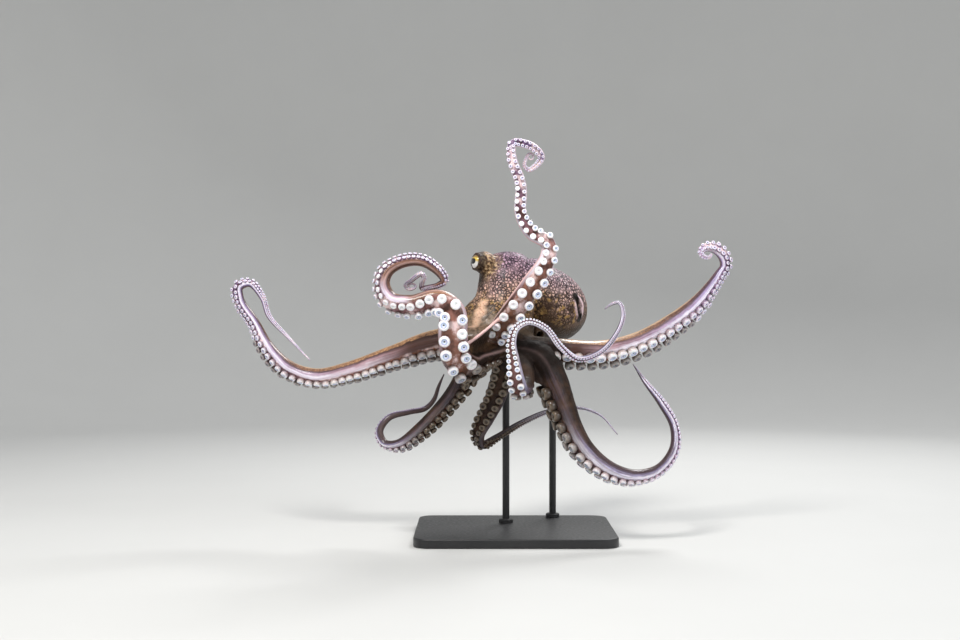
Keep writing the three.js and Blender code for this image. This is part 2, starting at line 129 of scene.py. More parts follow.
# %% [markdown]
# ## Where the arms run
# Each arm is a muscle with no bones, so it is told by the places that its middle line passes, with its
# width at each. The way its suckers look is told too, at shares of its length, because an arm twists as
# it bends. A few listed places and a smooth curve through them read better than many measured points.

# %% Routes of the arms
ARMS = {
    "arm_left_1": dict(
        route=[(-34, -12, 290, 28), (-23, -32, 318, 30), (-6, -50, 341, 34), (24, -60, 384, 31),
               (46, -60, 420, 24), (46, -60, 442, 22), (22, -60, 457, 20), (7, -60, 484, 17),
               (7, -60, 526, 16), (-6, -57, 566, 14), (-4, -51, 588, 12), (24, -45, 584, 12),
               (38, -40, 568, 10), (20, -36, 551, 7), (13, -38, 557, 5.5), (17, -40, 571, 4.5)],
        coil=dict(centre_to=(1, 0, 0.2), radius=5, end_radius=3.5, turns=0.9),
        facing=[(0, -0.2, -0.95, -0.2), (0.1, 0.2, -0.95, -0.1), (0.3, 0.35, -0.9, -0.15),
                (0.38, 0.2, -0.9, 0.3), (0.5, 0, -1, 0.2), (0.8, -0.3, -0.95, 0), (1, 0, -1, 0.3)],
        leaves=0.1),
    "arm_left_2": dict(
        route=[(10, 0, 288, 42), (68, 10, 283, 40), (130, 25, 281, 37), (185, 38, 293, 36),
               (236, 48, 319, 34), (282, 56, 354, 28), (306, 62, 382, 21), (318, 65, 399, 18),
               (327, 66, 412, 17), (326, 66, 426, 18), (318, 66, 437, 18), (306, 66, 443, 16),
               (294, 63, 441, 13), (289, 58, 433, 9), (294, 54, 427, 7), (301, 52, 427, 5),
               (304, 52, 432, 3)],
        facing=[(0, 0, -0.58, -0.81), (0.45, 0.05, -0.58, -0.81), (0.65, 0.4, -0.48, -0.78),
                (0.76, 0.8, -0.45, -0.4), (0.83, 0.75, -0.65, 0.1), (0.88, 0.4, -0.85, 0.4),
                (0.93, -0.2, -0.85, 0.45), (0.96, -0.6, -0.75, 0), (1, 0.2, -0.8, -0.5)],
        leaves=0.14),
    "arm_left_3": dict(
        route=[(2, -2, 284, 44), (38, -8, 272, 49), (57, -14, 236, 49), (70, -20, 200, 43),
               (82, -27, 170, 38), (101, -33, 138, 35), (136, -36, 109, 30), (176, -32, 98, 24),
               (214, -22, 108, 19), (238, -8, 137, 17), (240, 8, 170, 15), (224, 25, 203, 14),
               (200, 42, 236, 8), (184, 60, 262, 1.6)],
        facing=[(0, -0.9, 0, -0.3), (0.2, -1, -0.2, -0.2), (0.42, -0.75, -0.3, -0.6),
                (0.58, 0.1, -0.25, -0.95), (0.7, 0.85, -0.3, -0.4), (0.85, 0.85, -0.4, 0.3),
                (1, 0.7, -0.4, 0.5)],
        leaves=0.14),
    "arm_left_4": dict(
        route=[(-4, -8, 280, 34), (12, -35, 258, 30), (12, -60, 236, 28), (5, -82, 229, 26),
               (0, -99, 244, 24), (-4, -104, 270, 18), (-7, -105, 298, 13), (0, -104, 318, 10),
               (18, -102, 327, 9), (41, -100, 317, 9), (62, -97, 292, 9), (88, -94, 275, 9),
               (118, -88, 283, 8), (142, -79, 307, 7), (155, -67, 337, 6), (150, -60, 355, 5),
               (138, -54, 352, 4), (130, -50, 346, 1.6)],
        facing=[(0, 0, 0.2, -1), (0.12, 0, 0.9, -0.3), (0.2, 0, -0.4, -0.9), (0.27, -0.3, -1, 0),
                (0.45, -0.5, -0.8, 0.5), (0.55, 0.5, -0.7, 0.6), (0.7, 0, -0.6, -0.8),
                (0.85, 0.9, -0.5, 0), (0.95, 0.1, -0.5, 0.9), (1, -0.8, -0.5, 0.5)],
        leaves=0.09),
    "arm_right_4": dict(
        route=[(-14, 5, 280, 38), (-19, 15, 247, 34), (-28, 25, 215, 31), (-44, 35, 180, 27),
               (-55, 44, 153, 20), (-50, 53, 137, 15), (-26, 58, 149, 11), (9, 59, 170, 9),
               (53, 58, 189, 7), (98, 55, 195, 5), (132, 50, 184, 3.5), (158, 40, 155, 1.6)],
        facing=[(0, 0, -0.9, -0.3), (0.25, -0.3, -0.9, 0), (0.4, -0.9, -0.4, -0.3),
                (0.48, -0.2, -0.5, -0.9), (0.8, 0, -0.8, -0.6), (1, -0.3, -0.8, -0.6)],
        leaves=0.1),
    "arm_right_3": dict(
        route=[(-44, -4, 300, 28), (-60, -11, 280, 30), (-70, -15, 259, 33), (-80, -15, 236, 32),
               (-99, -12, 209, 28), (-142, -8, 164, 25), (-174, -2, 142, 20), (-196, 5, 144, 14),
               (-204, 11, 162, 12), (-190, 17, 182, 10), (-160, 24, 190, 8), (-136, 31, 195, 8),
               (-123, 30, 208, 7), (-115, 24, 230, 5), (-107, 20, 248, 1.6)],
        facing=[(0, 0.3, -0.7, -0.6), (0.25, 0.75, -0.45, -0.45), (0.42, 0.5, -0.45, -0.75),
                (0.54, 0, -0.35, -0.93), (0.6, -0.4, 0.2, -0.9), (0.66, -0.7, 0.65, -0.2),
                (0.76, -0.2, 0.9, 0.4), (1, 0.5, 0.8, 0.3)],
        leaves=0.13),
    "arm_right_2": dict(
        route=[(-30, 0, 300, 48), (-115, 5, 295, 46), (-181, 20, 275, 37), (-250, 35, 252, 32),
               (-302, 45, 242, 29), (-346, 50, 254, 28), (-380, 55, 285, 25), (-401, 58, 325, 18),
               (-424, 60, 359, 17), (-426, 60, 381, 17), (-408, 62, 387, 13), (-389, 63, 364, 9),
               (-379, 61, 336, 7.5), (-348, 54, 303, 5), (-313, 45, 268, 1.6)],
        facing=[(0, 0, -0.35, -0.93), (0.42, 0, -0.25, -0.97), (0.51, -0.35, -0.4, -0.85),
                (0.58, -0.8, -0.6, -0.15), (0.68, -0.9, -0.45, 0.1), (0.76, 0, -0.45, 0.9),
                (0.82, 0.85, -0.45, 0.3), (1, 0.6, -0.6, 0.4)],
        leaves=0.12),
    "arm_right_1": dict(
        route=[(-28, -10, 286, 36), (-66, -58, 264, 39), (-87, -94, 276, 41), (-91, -109, 309, 41),
               (-92, -113, 340, 38), (-111, -115, 357, 33), (-150, -113, 351, 30),
               (-180, -110, 357, 28), (-192, -106, 380, 25), (-186, -102, 400, 23),
               (-165, -98, 413, 20), (-136, -93, 415, 18), (-113, -88, 401, 15),
               (-104, -83, 387, 12), (-113, -77, 380, 9), (-128, -70, 377, 8),
               (-137, -64, 376, 7.5), (-137, -61, 383, 7), (-134, -60, 391, 7),
               (-138, -61, 397, 7), (-146, -63, 392, 7), (-152, -65, 387, 6),
               (-158, -69, 383, 5.5)],
        coil=dict(centre_to=(0.7, -0.55, -0.43), radius=9, end_radius=3.5, turns=1.25),
        facing=[(0, -0.2, -0.3, -0.9), (0.12, -0.2, -0.9, -0.5), (0.2, 0.1, -1, 0),
                (0.31, 0, -0.9, 0.2), (0.36, -0.1, -0.9, -0.4), (0.43, -0.1, -0.7, -0.7),
                (0.48, -0.6, -0.5, -0.6), (0.53, -0.93, -0.35, 0.05), (0.6, -0.4, -0.4, 0.8),
                (0.66, 0.1, -0.4, 0.9), (0.74, 0.9, -0.35, 0.2), (0.785, 0, -0.5, -0.9),
                (0.83, 0.8, -0.5, 0), (0.87, 0, -0.5, 0.9), (1, -0.8, -0.5, 0.4)],
        leaves=0.11),
}
TIP_WIDTH = 1.6

# %% [markdown]
# ## A smooth line through the places
# A centripetal Catmull-Rom curve passes through every place without the loops and overshoots that an
# even one makes where two places are close. It is sampled once, finely, and everything that follows
# reads those samples: the skin, the suckers and the colour all have to agree on where the arm is.

# %% The arm as a line
SAMPLES = 24                                  # between two places of a route


def coil_points(route, coil):
    """Runs a spiral on from the end of a route."""
    end = Vector(route[-1][:3])
    ahead = (end - Vector(route[-2][:3])).normalized()
    inward = Vector(coil["centre_to"])
    inward = (inward - ahead * inward.dot(ahead)).normalized()
    centre = end + inward * coil["radius"]
    steps = math.ceil(coil["turns"] * 8)
    points = []
    for i in range(1, steps + 1):
        angle = i / steps * coil["turns"] * math.tau
        reach = coil["radius"] + (coil["end_radius"] - coil["radius"]) * i / steps
        point = centre - inward * reach * math.cos(angle) + ahead * reach * math.sin(angle)
        width = route[-1][3] + (TIP_WIDTH - route[-1][3]) * i / steps
        points.append((*point, width))
    return points


def smooth_line(places):
    """A centripetal Catmull-Rom curve through the places; the widths go evenly between them."""
    p = np.array(places, float)
    ends = [2 * p[0] - p[1], 2 * p[-1] - p[-2]]
    p = np.vstack([ends[0], p, ends[1]])
    line = []
    for p0, p1, p2, p3 in zip(p, p[1:], p[2:], p[3:]):
        d0, d1, d2 = (np.linalg.norm(b[:3] - a[:3]) ** 0.5 for a, b in ((p0, p1), (p1, p2), (p2, p3)))
        start = ((p1 - p0) / d0 - (p2 - p0) / (d0 + d1) + (p2 - p1) / d1) * d1
        stop = ((p2 - p1) / d1 - (p3 - p1) / (d1 + d2) + (p3 - p2) / d2) * d1
        for t in np.arange(SAMPLES) / SAMPLES:
            point = p1 + start * t + (3 * (p2 - p1) - 2 * start - stop) * t * t
            point = point + (2 * (p1 - p2) + start + stop) * t ** 3
            point[3] = p1[3] + (p2[3] - p1[3]) * t
            line.append(point)
    line.append(p[-2])
    return np.array(line)


def unit(rows):
    return rows / np.linalg.norm(rows, axis=-1, keepdims=True)


def evened(rows, reach, window):
    """Averages each row with those within a window of length, so that nothing turns in a jump."""
    even = np.arange(0, reach[-1] + 1, 1.0)
    count = max(int(window), 1)
    columns = []
    for column in rows.T:
        dense = np.interp(even, reach, column)
        padded = np.pad(dense, count, mode="edge")
        mean = np.convolve(padded, np.ones(2 * count + 1) / (2 * count + 1), mode="valid")
        columns.append(np.interp(reach, even, mean))
    return np.array(columns).T


class Arm:
    """The middle line of an arm, its width, and the way its suckers look, all along it."""

    def __init__(self, name, route, facing, leaves, coil=None):
        self.name = name
        self.leaves = leaves
        places = list(route) + (coil_points(route, coil) if coil else [])
        line = smooth_line(places)
        self.at = line[:, :3]
        steps = np.linalg.norm(np.diff(self.at, axis=0), axis=1)
        self.reach = np.concatenate([[0], np.cumsum(steps)])
        self.length = self.reach[-1]
        self.width = evened(line[:, 3:], self.reach, 5)[:, 0]
        self.along = unit(np.gradient(self.at, self.reach, axis=0))
        keys = np.array(facing, float)
        share = self.reach / self.length
        looks = np.stack([np.interp(share, keys[:, 0], keys[:, k]) for k in (1, 2, 3)], axis=1)
        looks = evened(unit(looks), self.reach, 8)
        looks -= self.along * (looks * self.along).sum(1, keepdims=True)
        self.suckers_look = unit(looks)
        self.across = np.cross(self.along, self.suckers_look)

    def station(self, reach):
        """Where the arm is at a distance along it: middle, along, sucker side, across and width."""
        def read(rows):
            return Vector([np.interp(reach, self.reach, column) for column in rows.T])
        along, look = read(self.along).normalized(), read(self.suckers_look).normalized()
        return read(self.at), along, look, along.cross(look), float(np.interp(reach, self.reach, self.width))


arms = [Arm(name, **told) for name, told in ARMS.items()]
for arm in arms:
    print(f"{arm.name}: {arm.length:.0f} mm long")

# %% [markdown]
# ## A tube that follows an arm
# An arm in section is round on its back and flatter where the suckers stand, with a shallow furrow
# between the two rows. A curve object with a bevel would turn that section as it liked. Here a loop
# of edges is extruded from one station of the arm to the next, so the flat side always looks the way
# the suckers do.

# %% Section and tube
SIDES = 24


def section_point(angle):
    """A corner of the section: how far across and how far towards the suckers, in half widths."""
    out, side = math.cos(angle), math.sin(angle)
    if abs(out) < 0.01:
        return 1.03 * side, 0.04              # the thin keel along each margin
    if out > 0:
        furrow = 0.11 * math.exp(-(side / 0.33) ** 2)
        return 0.97 * side, 0.75 * out ** 0.75 - furrow
    return 0.97 * side, -0.94 * abs(out) ** 0.9


SECTION = [section_point(math.tau * i / SIDES) for i in range(SIDES)]


def ring_points(arm, reach):
    middle, _, look, across, width = arm.station(reach)
    half = width / 2
    return [middle + across * (side * half) + look * (out * half) for side, out in SECTION]


def extrude_ring(bm, ring, points):
    """Extrudes a closed ring of vertices one step and puts the new ring on its points."""
    edges = [bm.edges.get(pair) for pair in zip(ring, ring[1:] + ring[:1])]
    made = bmesh.ops.extrude_edge_only(bm, edges=edges)["geom"]
    fresh = {v for v in made if isinstance(v, bmesh.types.BMVert)}
    moved = [next(e.other_vert(v) for e in v.link_edges if e.other_vert(v) in fresh) for v in ring]
    for vertex, point in zip(moved, points):
        vertex.co = point
    return moved


def first_ring(bm, points):
    ring = bmesh.ops.create_circle(bm, segments=len(points), radius=1)["verts"]
    for vertex, point in zip(ring, points):
        vertex.co = point
    return ring


def close_ring(bm, ring):
    bmesh.ops.contextual_create(bm, geom=ring)


def ring_reaches(arm, start, stop, pitch):
    """Stations from start to stop, closer together as the arm gets thinner."""
    reaches = [start]
    while reaches[-1] < stop - 1.6 * pitch:
        width = arm.station(reaches[-1])[4]
        reaches.append(reaches[-1] + min(pitch, max(0.9, width * 0.13)))
    return reaches + [stop]


def tube(bm, arm, start, stop, pitch, closed_start=True):
    """The arm's skin from one station to another, closed at its far end."""
    reaches = ring_reaches(arm, start, stop, pitch)
    first = ring = first_ring(bm, ring_points(arm, reaches[0]))
    for reach in reaches[1:]:
        ring = extrude_ring(bm, ring, ring_points(arm, reach))
    if closed_start:
        close_ring(bm, first)
    close_ring(bm, ring)


print("corners of an arm's section:", len(SECTION))

# %% [markdown]
# ## The trunk in the rough
# Mantle, head, crown, web and the roots of the arms grow into each other with no edge between them.
# Modelling that as one sheet of faces would be a long puzzle. A sculptor would press lumps of clay
# together and smooth the joins, and voxel remeshing does the same: closed shapes are put through each
# other, and the remesh keeps only the skin of the whole heap.

# %% Mantle, head and eye bumps
MANTLE = dict(centre=(49, 125, 359), axis=(0.68, 0.6, -0.42), length=162, width=113, fuller=0.1)
# Across, back, height, half the width and half the depth of the head, from the crown up. The neck
# spreads to the right into the shoulder of two arms.
HEAD = [(-2, 2, 266, 10, 8), (-2, 3, 272, 20, 16), (-3, 6, 284, 31, 24), (-13, 12, 300, 41, 33),
        (-21, 24, 318, 51, 36), (-26, 38, 338, 56, 38), (-21, 46, 352, 53, 39), (-13, 54, 366, 47, 41),
        (-9, 61, 384, 47, 42), (-9, 65, 406, 44, 38), (-9, 66, 422, 36, 30), (-9, 66, 432, 23, 20),
        (-9, 66, 436, 8, 7)]
EYE = dict(radius=12.5, bump=17.5, set_in=9)
EYES = {
    "eye_right": dict(centre=Vector((-54, 42, 419)), look=Vector((-0.86, -0.5, 0.1)).normalized()),
    "eye_left": dict(centre=Vector((36, 86, 412)), look=Vector((0.9, 0.32, 0.28)).normalized()),
}
FUNNEL = dict(root=Vector((12, 88, 322)), mouth=Vector((40, 48, 306)), root_radius=15,
              mouth_radius=9, wall=3, hollow=0.4)
# The slit that the animal breathes through: places near the mantle's skin, and half its width.
SLIT = dict(line=[(97, 95, 367), (101, 97, 359), (104, 99, 350), (106, 101, 341), (107, 103, 331)],
            half_width=7.6)


def facing_turn(direction):
    """Turns a shape made along +Z so that it lies along a direction."""
    return Vector((0, 0, 1)).rotation_difference(Vector(direction).normalized()).to_matrix().to_4x4()


def add_mantle(bm):
    sac = bmesh.ops.create_uvsphere(bm, u_segments=48, v_segments=32, radius=1)["verts"]
    for vertex in sac:
        vertex.co.xy *= MANTLE["width"] / 2 * (1 + MANTLE["fuller"] * vertex.co.z)
        vertex.co.z *= MANTLE["length"] / 2
    place = Matrix.Translation(MANTLE["centre"]) @ facing_turn(MANTLE["axis"])
    bmesh.ops.transform(bm, matrix=place, verts=sac)


def add_head(bm):
    levels = smooth_line(HEAD)[::6]
    corners = 40

    def level_points(level):
        across, back, height, half_width, half_depth = level
        return [Vector((across + half_width * math.cos(math.tau * i / corners),
                        back + half_depth * math.sin(math.tau * i / corners), height))
                for i in range(corners)]

    first = ring = first_ring(bm, level_points(levels[0]))
    for level in levels[1:]:
        ring = extrude_ring(bm, ring, level_points(level))
    close_ring(bm, first)
    close_ring(bm, ring)


def add_ball(bm, centre, radius):
    bmesh.ops.create_uvsphere(bm, u_segments=32, v_segments=20, radius=radius,
                              matrix=Matrix.Translation(centre))


def add_ring(bm, centre, axis, radius, thickness):
    """A ring of flesh, such as a lid: a small circle spun round an axis."""
    part = bmesh.new()
    upright = Matrix.Translation((radius, 0, 0)) @ Matrix.Rotation(math.pi / 2, 4, "X")
    section = bmesh.ops.create_circle(part, segments=14, radius=thickness, matrix=upright)["verts"]
    bmesh.ops.spin(part, geom=section + part.edges[:], cent=(0, 0, 0), axis=(0, 0, 1),
                   angle=math.tau, steps=40, use_merge=True)
    add_part(bm, part, Matrix.Translation(centre) @ facing_turn(axis))


def add_funnel(bm):
    """The siphon: a tapering tube with an open mouth, made from its wall's section by a full spin."""
    run = FUNNEL["mouth"] - FUNNEL["root"]
    length, bore = run.length, FUNNEL["mouth_radius"] - FUNNEL["wall"]
    inside = length * FUNNEL["hollow"]
    profile = [(0, 0), (FUNNEL["root_radius"], 0), (FUNNEL["mouth_radius"], length),
               (bore, length), (bore, inside), (0, inside)]
    add_part(bm, spun(profile, 28, 0.01), Matrix.Translation(FUNNEL["root"]) @ facing_turn(run))


print("mantle:", MANTLE["length"], "mm long,", MANTLE["width"], "mm wide")

# %% [markdown]
# ## The web
# Between neighbouring arms the skin is drawn out into a web, like that between a duck's toes. Each
# stretch is a grid laid between two arms and hollowed at its free edge, then given its thickness. It
# only has to be right at that edge, because the rest sinks into the crown. Between the two arms that
# are raised in front it is drawn tight like a sail, and its edge is a thin cord.

# %% Web
WEB = dict(start=0.03, sag=0.5, thickness=3.6, cord=2.4)
ARM_ORDER = ["arm_left_1", "arm_left_2", "arm_left_3", "arm_left_4",
             "arm_right_4", "arm_right_3", "arm_right_2", "arm_right_1"]
# Where a stretch is unlike the rest: the shares of the two arms' lengths at which it starts and ends,
# how deep its edge is hollowed, and how far aside of their middle lines it joins them, in widths.
UNLIKE = {
    "arm_right_1": dict(starts=(0.09, 0.02), ends=(0.225, 0.125), margins=(0.2, -0.2), sag=0.08),
    "arm_right_4": dict(starts=(0.01, 0.01), ends=(0.03, 0.03)),
    "arm_left_3": dict(ends=(0.21, 0.13), margins=(0, 0.1), sag=0.12),
}


class Web:
    """A stretch of web between two arms."""

    def __init__(self, first, second, starts=(WEB["start"],) * 2, ends=None, margins=(0, 0),
                 sag=WEB["sag"]):
        self.arms = (first, second)
        self.starts = starts
        self.ends = ends or (first.leaves, second.leaves)
        self.margins = margins
        self.sag = sag

    def place(self, across, outward):
        """A place on the web: from the first arm to the second, and from the crown to the free edge."""
        share = outward * (1 - self.sag * math.sin(math.pi * across))
        sides = []
        for arm, start, end, margin in zip(self.arms, self.starts, self.ends, self.margins):
            middle, _, _, aside, width = arm.station((start + share * (end - start)) * arm.length)
            sides.append(middle + aside * (margin * width))
        return sides[0].lerp(sides[1], across)


by_name = {arm.name: arm for arm in arms}
webs = [Web(by_name[first], by_name[second], **UNLIKE.get(first, {}))
        for first, second in zip(ARM_ORDER, ARM_ORDER[1:] + ARM_ORDER[:1])]
SAIL = webs[-1]
print("stretches of web:", len(webs))


def add_membrane(bm, web, squares=14):
    grid = bmesh.ops.create_grid(bm, x_segments=squares, y_segments=squares, size=0.5)["verts"]
    for vertex in grid:
        vertex.co = web.place(vertex.co.x + 0.5, vertex.co.y + 0.5)
    faces = list({f for v in grid for f in v.link_faces})
    bmesh.ops.recalc_face_normals(bm, faces=faces)
    bmesh.ops.solidify(bm, geom=faces, thickness=WEB["thickness"])


def add_cord(bm, line, radius, sides=10):
    """A thin round cord through a line of places; its radius may be told for each."""
    radii = radius if isinstance(radius, list) else [radius] * len(line)

    def circle(i):
        ahead = line[min(i + 1, len(line) - 1)] - line[max(i - 1, 0)]
        turn = facing_turn(ahead).to_3x3()
        angles = [math.tau * k / sides for k in range(sides)]
        return [line[i] + turn @ Vector((math.cos(angle), math.sin(angle), 0)) * radii[i] for angle in angles]

    first = ring = first_ring(bm, circle(0))
    for i in range(1, len(line)):
        ring = extrude_ring(bm, ring, circle(i))
    close_ring(bm, first)
    close_ring(bm, ring)


# %% [markdown]
# ## The heap of clay
# An arm's root is made as far as the trunk's web reaches along it, and a little more. The flesh at the
# rim of each eye and beside the gill slit is a ring and a cord pressed onto the heap.

# %% Rough trunk
CUT = 10                                      # how far past the web a root is cut off
STUB = 24                                     # and how far past the web it is first made
VOXEL = 2.3
LID = dict(forward=5.4, radius=12.4, thickness=2.5)


def root_end(arm):
    """How far along an arm the webs reach, in millimetres."""
    ends = [end for web in webs for owner, end in zip(web.arms, web.ends) if owner is arm]
    return max(ends + [arm.leaves]) * arm.length


def on_mantle(place):
    """The nearest place on the mantle, straight out from its axis, and the way out of the skin there."""
    axis = Vector(MANTLE["axis"]).normalized()
    offset = Vector(place) - Vector(MANTLE["centre"])
    along = offset.dot(axis) / (MANTLE["length"] / 2)
    aside = (offset - axis * offset.dot(axis)).normalized()
    radius = MANTLE["width"] / 2 * (1 + MANTLE["fuller"] * along) * math.sqrt(1 - along ** 2)
    out = aside * (2 * radius / MANTLE["width"] ** 2) + axis * (2 * along / MANTLE["length"])
    at = Vector(MANTLE["centre"]) + axis * (along * MANTLE["length"] / 2) + aside * radius
    return at, out.normalized()


def slit_line(aside=0.0, out=0.0, count=17):
    """Places along the slit, moved aside by a share of its own half width at each."""
    ends = np.linspace(0, len(SLIT["line"]) - 1, count)
    columns = [np.interp(ends, range(len(SLIT["line"])), column) for column in zip(*SLIT["line"])]
    skin = [on_mantle(place) for place in zip(*columns)]
    widths = [SLIT["half_width"] * math.sin(math.pi * (i + 0.6) / (count + 0.2)) for i in range(count)]
    line = []
    for i, (at, normal) in enumerate(skin):
        ahead = skin[min(i + 1, count - 1)][0] - skin[max(i - 1, 0)][0]
        over = normal.cross(ahead).normalized()
        line.append(at + over * (aside * widths[i]) + normal * out)
    return line, widths


def add_slit_lips(bm):
    """Two swellings beside the slit, the outer one thicker."""
    for aside, radius in ((1.3, 3.2), (-1.3, 2.2)):
        add_cord(bm, slit_line(aside, out=-0.6)[0], radius)


def rough_trunk():
    bm = bmesh.new()
    add_mantle(bm)
    add_head(bm)
    for eye in EYES.values():
        add_ball(bm, eye["centre"] - eye["look"] * EYE["set_in"], EYE["bump"])
        add_ring(bm, eye["centre"] + eye["look"] * LID["forward"], eye["look"], LID["radius"],
                 LID["thickness"])
    add_funnel(bm)
    add_slit_lips(bm)
    for web in webs:
        add_membrane(bm, web)
    add_cord(bm, [SAIL.place(i / 30, 1) for i in range(31)], WEB["cord"])
    for arm in arms:
        tube(bm, arm, 0.5, root_end(arm) + STUB, 4)
    return mesh_of(bm, "rough trunk")


def with_modifier(mesh, kind, **settings):
    """The mesh as a modifier leaves it."""
    holder = add_object("holder", mesh)
    modifier = holder.modifiers.new("made", kind)
    for key, value in settings.items():
        setattr(modifier, key, value)
    bpy.context.view_layer.update()
    depsgraph = bpy.context.evaluated_depsgraph_get()
    made = bpy.data.meshes.new_from_object(holder.evaluated_get(depsgraph))
    bpy.data.objects.remove(holder)
    return made


trunk = with_modifier(rough_trunk(), "REMESH", mode="VOXEL", voxel_size=VOXEL, adaptivity=0)
print("trunk after the remesh:", len(trunk.polygons), "faces")

# %% [markdown]
# ## Smooth joins, sockets and the gill slit
# The remesh leaves the joins as sharp as the lumps were. A few rounds of smoothing turn them into the
# soft folds of skin over muscle. Hollows come after it, because smoothing would close them: a socket
# for each eyeball, and the slit at the side of the mantle through which the animal breathes.

# %% Smooth and hollow
def smoothed(mesh, rounds, factor=0.5):
    bm = bmesh.new()
    bm.from_mesh(mesh)
    for _ in range(rounds):
        bmesh.ops.smooth_vert(bm, verts=bm.verts, factor=factor,
                              use_axis_x=True, use_axis_y=True, use_axis_z=True)
    return mesh_of(bm, mesh.name)


def cut_with(mesh, make_tool):
    """Cuts a hollow with a shape made for it."""
    bm = bmesh.new()
    make_tool(bm)
    bmesh.ops.recalc_face_normals(bm, faces=bm.faces)
    tool = add_object("tool", mesh_of(bm, "tool"))
    made = with_modifier(mesh, "BOOLEAN", operation="DIFFERENCE", solver="EXACT", object=tool)
    bpy.data.objects.remove(tool)
    return made


def socket_tool(bm):
    for eye in EYES.values():
        add_ball(bm, eye["centre"], EYE["radius"] + 0.25)
    add_cord(bm, *slit_line(out=0.6))


# Wrinkled places: middle, reach, and height of the wrinkles in millimetres.
WRINKLED = [(EYES["eye_right"]["centre"] + Vector((20, 12, -8)), 34, 1.3),
            (EYES["eye_left"]["centre"] + Vector((-14, 0, -8)), 30, 1.2),
            (Vector((-40, 20, 368)), 40, 0.9), (Vector((100, 90, 350)), 30, 0.7)]


def wrinkled(mesh, everywhere=0.28):
    """Pushes the skin in and out along its normals, most round the eyes and on the neck."""
    bm = bmesh.new()
    bm.from_mesh(mesh)
    bm.normal_update()
    for vertex in bm.verts:
        height = everywhere
        for middle, reach, most in WRINKLED:
            near = max(0.0, 1 - (vertex.co - middle).length / reach)
            height += most * near * near * (3 - 2 * near)
        folds = 1 - 2 * abs(noise.noise(vertex.co * 0.085)) - 0.6
        creases = noise.noise(vertex.co * 0.22 + Vector((40, 0, 0)))
        vertex.co += vertex.normal * height * (0.9 * folds + 0.7 * creases)
    return mesh_of(bm, mesh.name)


trunk = wrinkled(smoothed(trunk, 4))
trunk = cut_with(trunk, socket_tool)
print("trunk with sockets and slit:", len(trunk.polygons), "faces")

# %% [markdown]
# ## Arms onto the trunk
# The roots in the trunk are cut off square a little past the web, and the clean tube of each arm is
# joined to the hole that this leaves. Bridging two loops of edges makes the strip between them, even
# where one loop has more corners than the other.

# %% Cut the roots and join the arms
PITCH = 2.7
ON_TRUNK = -1                                 # owner of the vertices that belong to no free arm


def write_mark(mesh, name, values):
    made = mesh.attributes.new(name, "FLOAT", "POINT")
    made.data.foreach_set("value", np.asarray(values, np.float32))


def cut_root(bm, arm):
    """Cuts one root off square, which leaves a hole with a clean rim."""
    middle, along, _, _, width = arm.station(root_end(arm) + CUT)
    near = [f for f in bm.faces if (f.calc_center_median() - middle).length < 0.62 * width + 3]
    geom = near + list({e for f in near for e in f.edges}) + list({v for f in near for v in f.verts})
    made = bmesh.ops.bisect_plane(bm, geom=geom, dist=1e-4, plane_co=middle, plane_no=along)
    wall = {e for e in made["geom_cut"] if isinstance(e, bmesh.types.BMEdge)}
    end = arm.station(root_end(arm) + STUB)[0]
    bm.faces.ensure_lookup_table()
    start = min(bm.faces, key=lambda f: (f.calc_center_median() - end).length_squared)
    beyond, unvisited = {start}, [start]
    while unvisited:
        face = unvisited.pop()
        for edge in face.edges:
            if edge in wall:
                continue
            for other in edge.link_faces:
                if other not in beyond:
                    beyond.add(other)
                    unvisited.append(other)
    bmesh.ops.delete(bm, geom=list(beyond), context="FACES")
    return len(beyond)


def free_arm(arm, number):
    bm = bmesh.new()
    tube(bm, arm, root_end(arm) + CUT + 0.6 * PITCH, arm.length, PITCH, closed_start=False)
    mesh = mesh_of(bm, arm.name)
    write_mark(mesh, "owner", np.full(len(mesh.vertices), number))
    return mesh


def whole_skin(mesh):
    write_mark(mesh, "owner", np.full(len(mesh.vertices), ON_TRUNK))
    bm = bmesh.new()
    bm.from_mesh(mesh)
    for number, arm in enumerate(arms):
        removed = cut_root(bm, arm)
        bm.from_mesh(free_arm(arm, number))
        open_edges = [e for e in bm.edges if e.is_boundary]
        bmesh.ops.bridge_loops(bm, edges=open_edges)
        print(f"{arm.name}: {removed} faces cut off its root, {len(open_edges)} open edges bridged")
    bmesh.ops.recalc_face_normals(bm, faces=bm.faces)
    return mesh_of(bm, "skin")


skin_mesh = whole_skin(trunk)
print("skin:", len(skin_mesh.polygons), "faces")

# %% [markdown]
# ## Marks on the skin
# The colour of an octopus depends on where the skin is: dark and grainy on the back of an arm, pale
# between the suckers, and fading towards the tip. A texture in space can't know that. So each vertex
# is told how far along its arm it lies, whether it looks the way the suckers do, and how much it
# belongs to an arm at all. Those marks travel with the mesh, and the materials read them.

# %% Read where the skin lies
# Where an arm is brown beside its suckers, in shares of its length.
EARTHY = {"arm_right_1": [(0.33, 0.42), (0.53, 0.77)]}
# How much wider than usual the stripe along an arm's back is.
STRIPED = {"arm_left_2": 0.26}
# The darker arms, with more violet in them.
COOL = ("arm_left_3", "arm_left_4", "arm_right_3", "arm_right_4")
# How strong the pale line along an arm's margins is.
KEELED = {"arm_left_1": 1.0, "arm_right_1": 0.35}
FAINT_KEEL = 0.05                             # on every other arm
# Shares of its length up to which an arm is dusky, partly its own dark skin and partly painted shade,
# and past which it is pale.
DUSKY_AND_SHADED = {"arm_right_3": (0.4, 0.62), "arm_right_4": (0.5, 0.8), "arm_left_3": (0.26, 0.46),
         "arm_left_4": (0.17, 0.25), "arm_right_1": (0.13, 0.19)}


def smoothstep(value, low, high):
    t = np.clip((value - low) / (high - low), 0, 1)
    return t * t * (3 - 2 * t)


def dusk_and_shade_at(arm, share):
    dark, pale = DUSKY_AND_SHADED.get(arm.name, (-0.2, -0.1))
    return 1 - smoothstep(share, dark, pale)


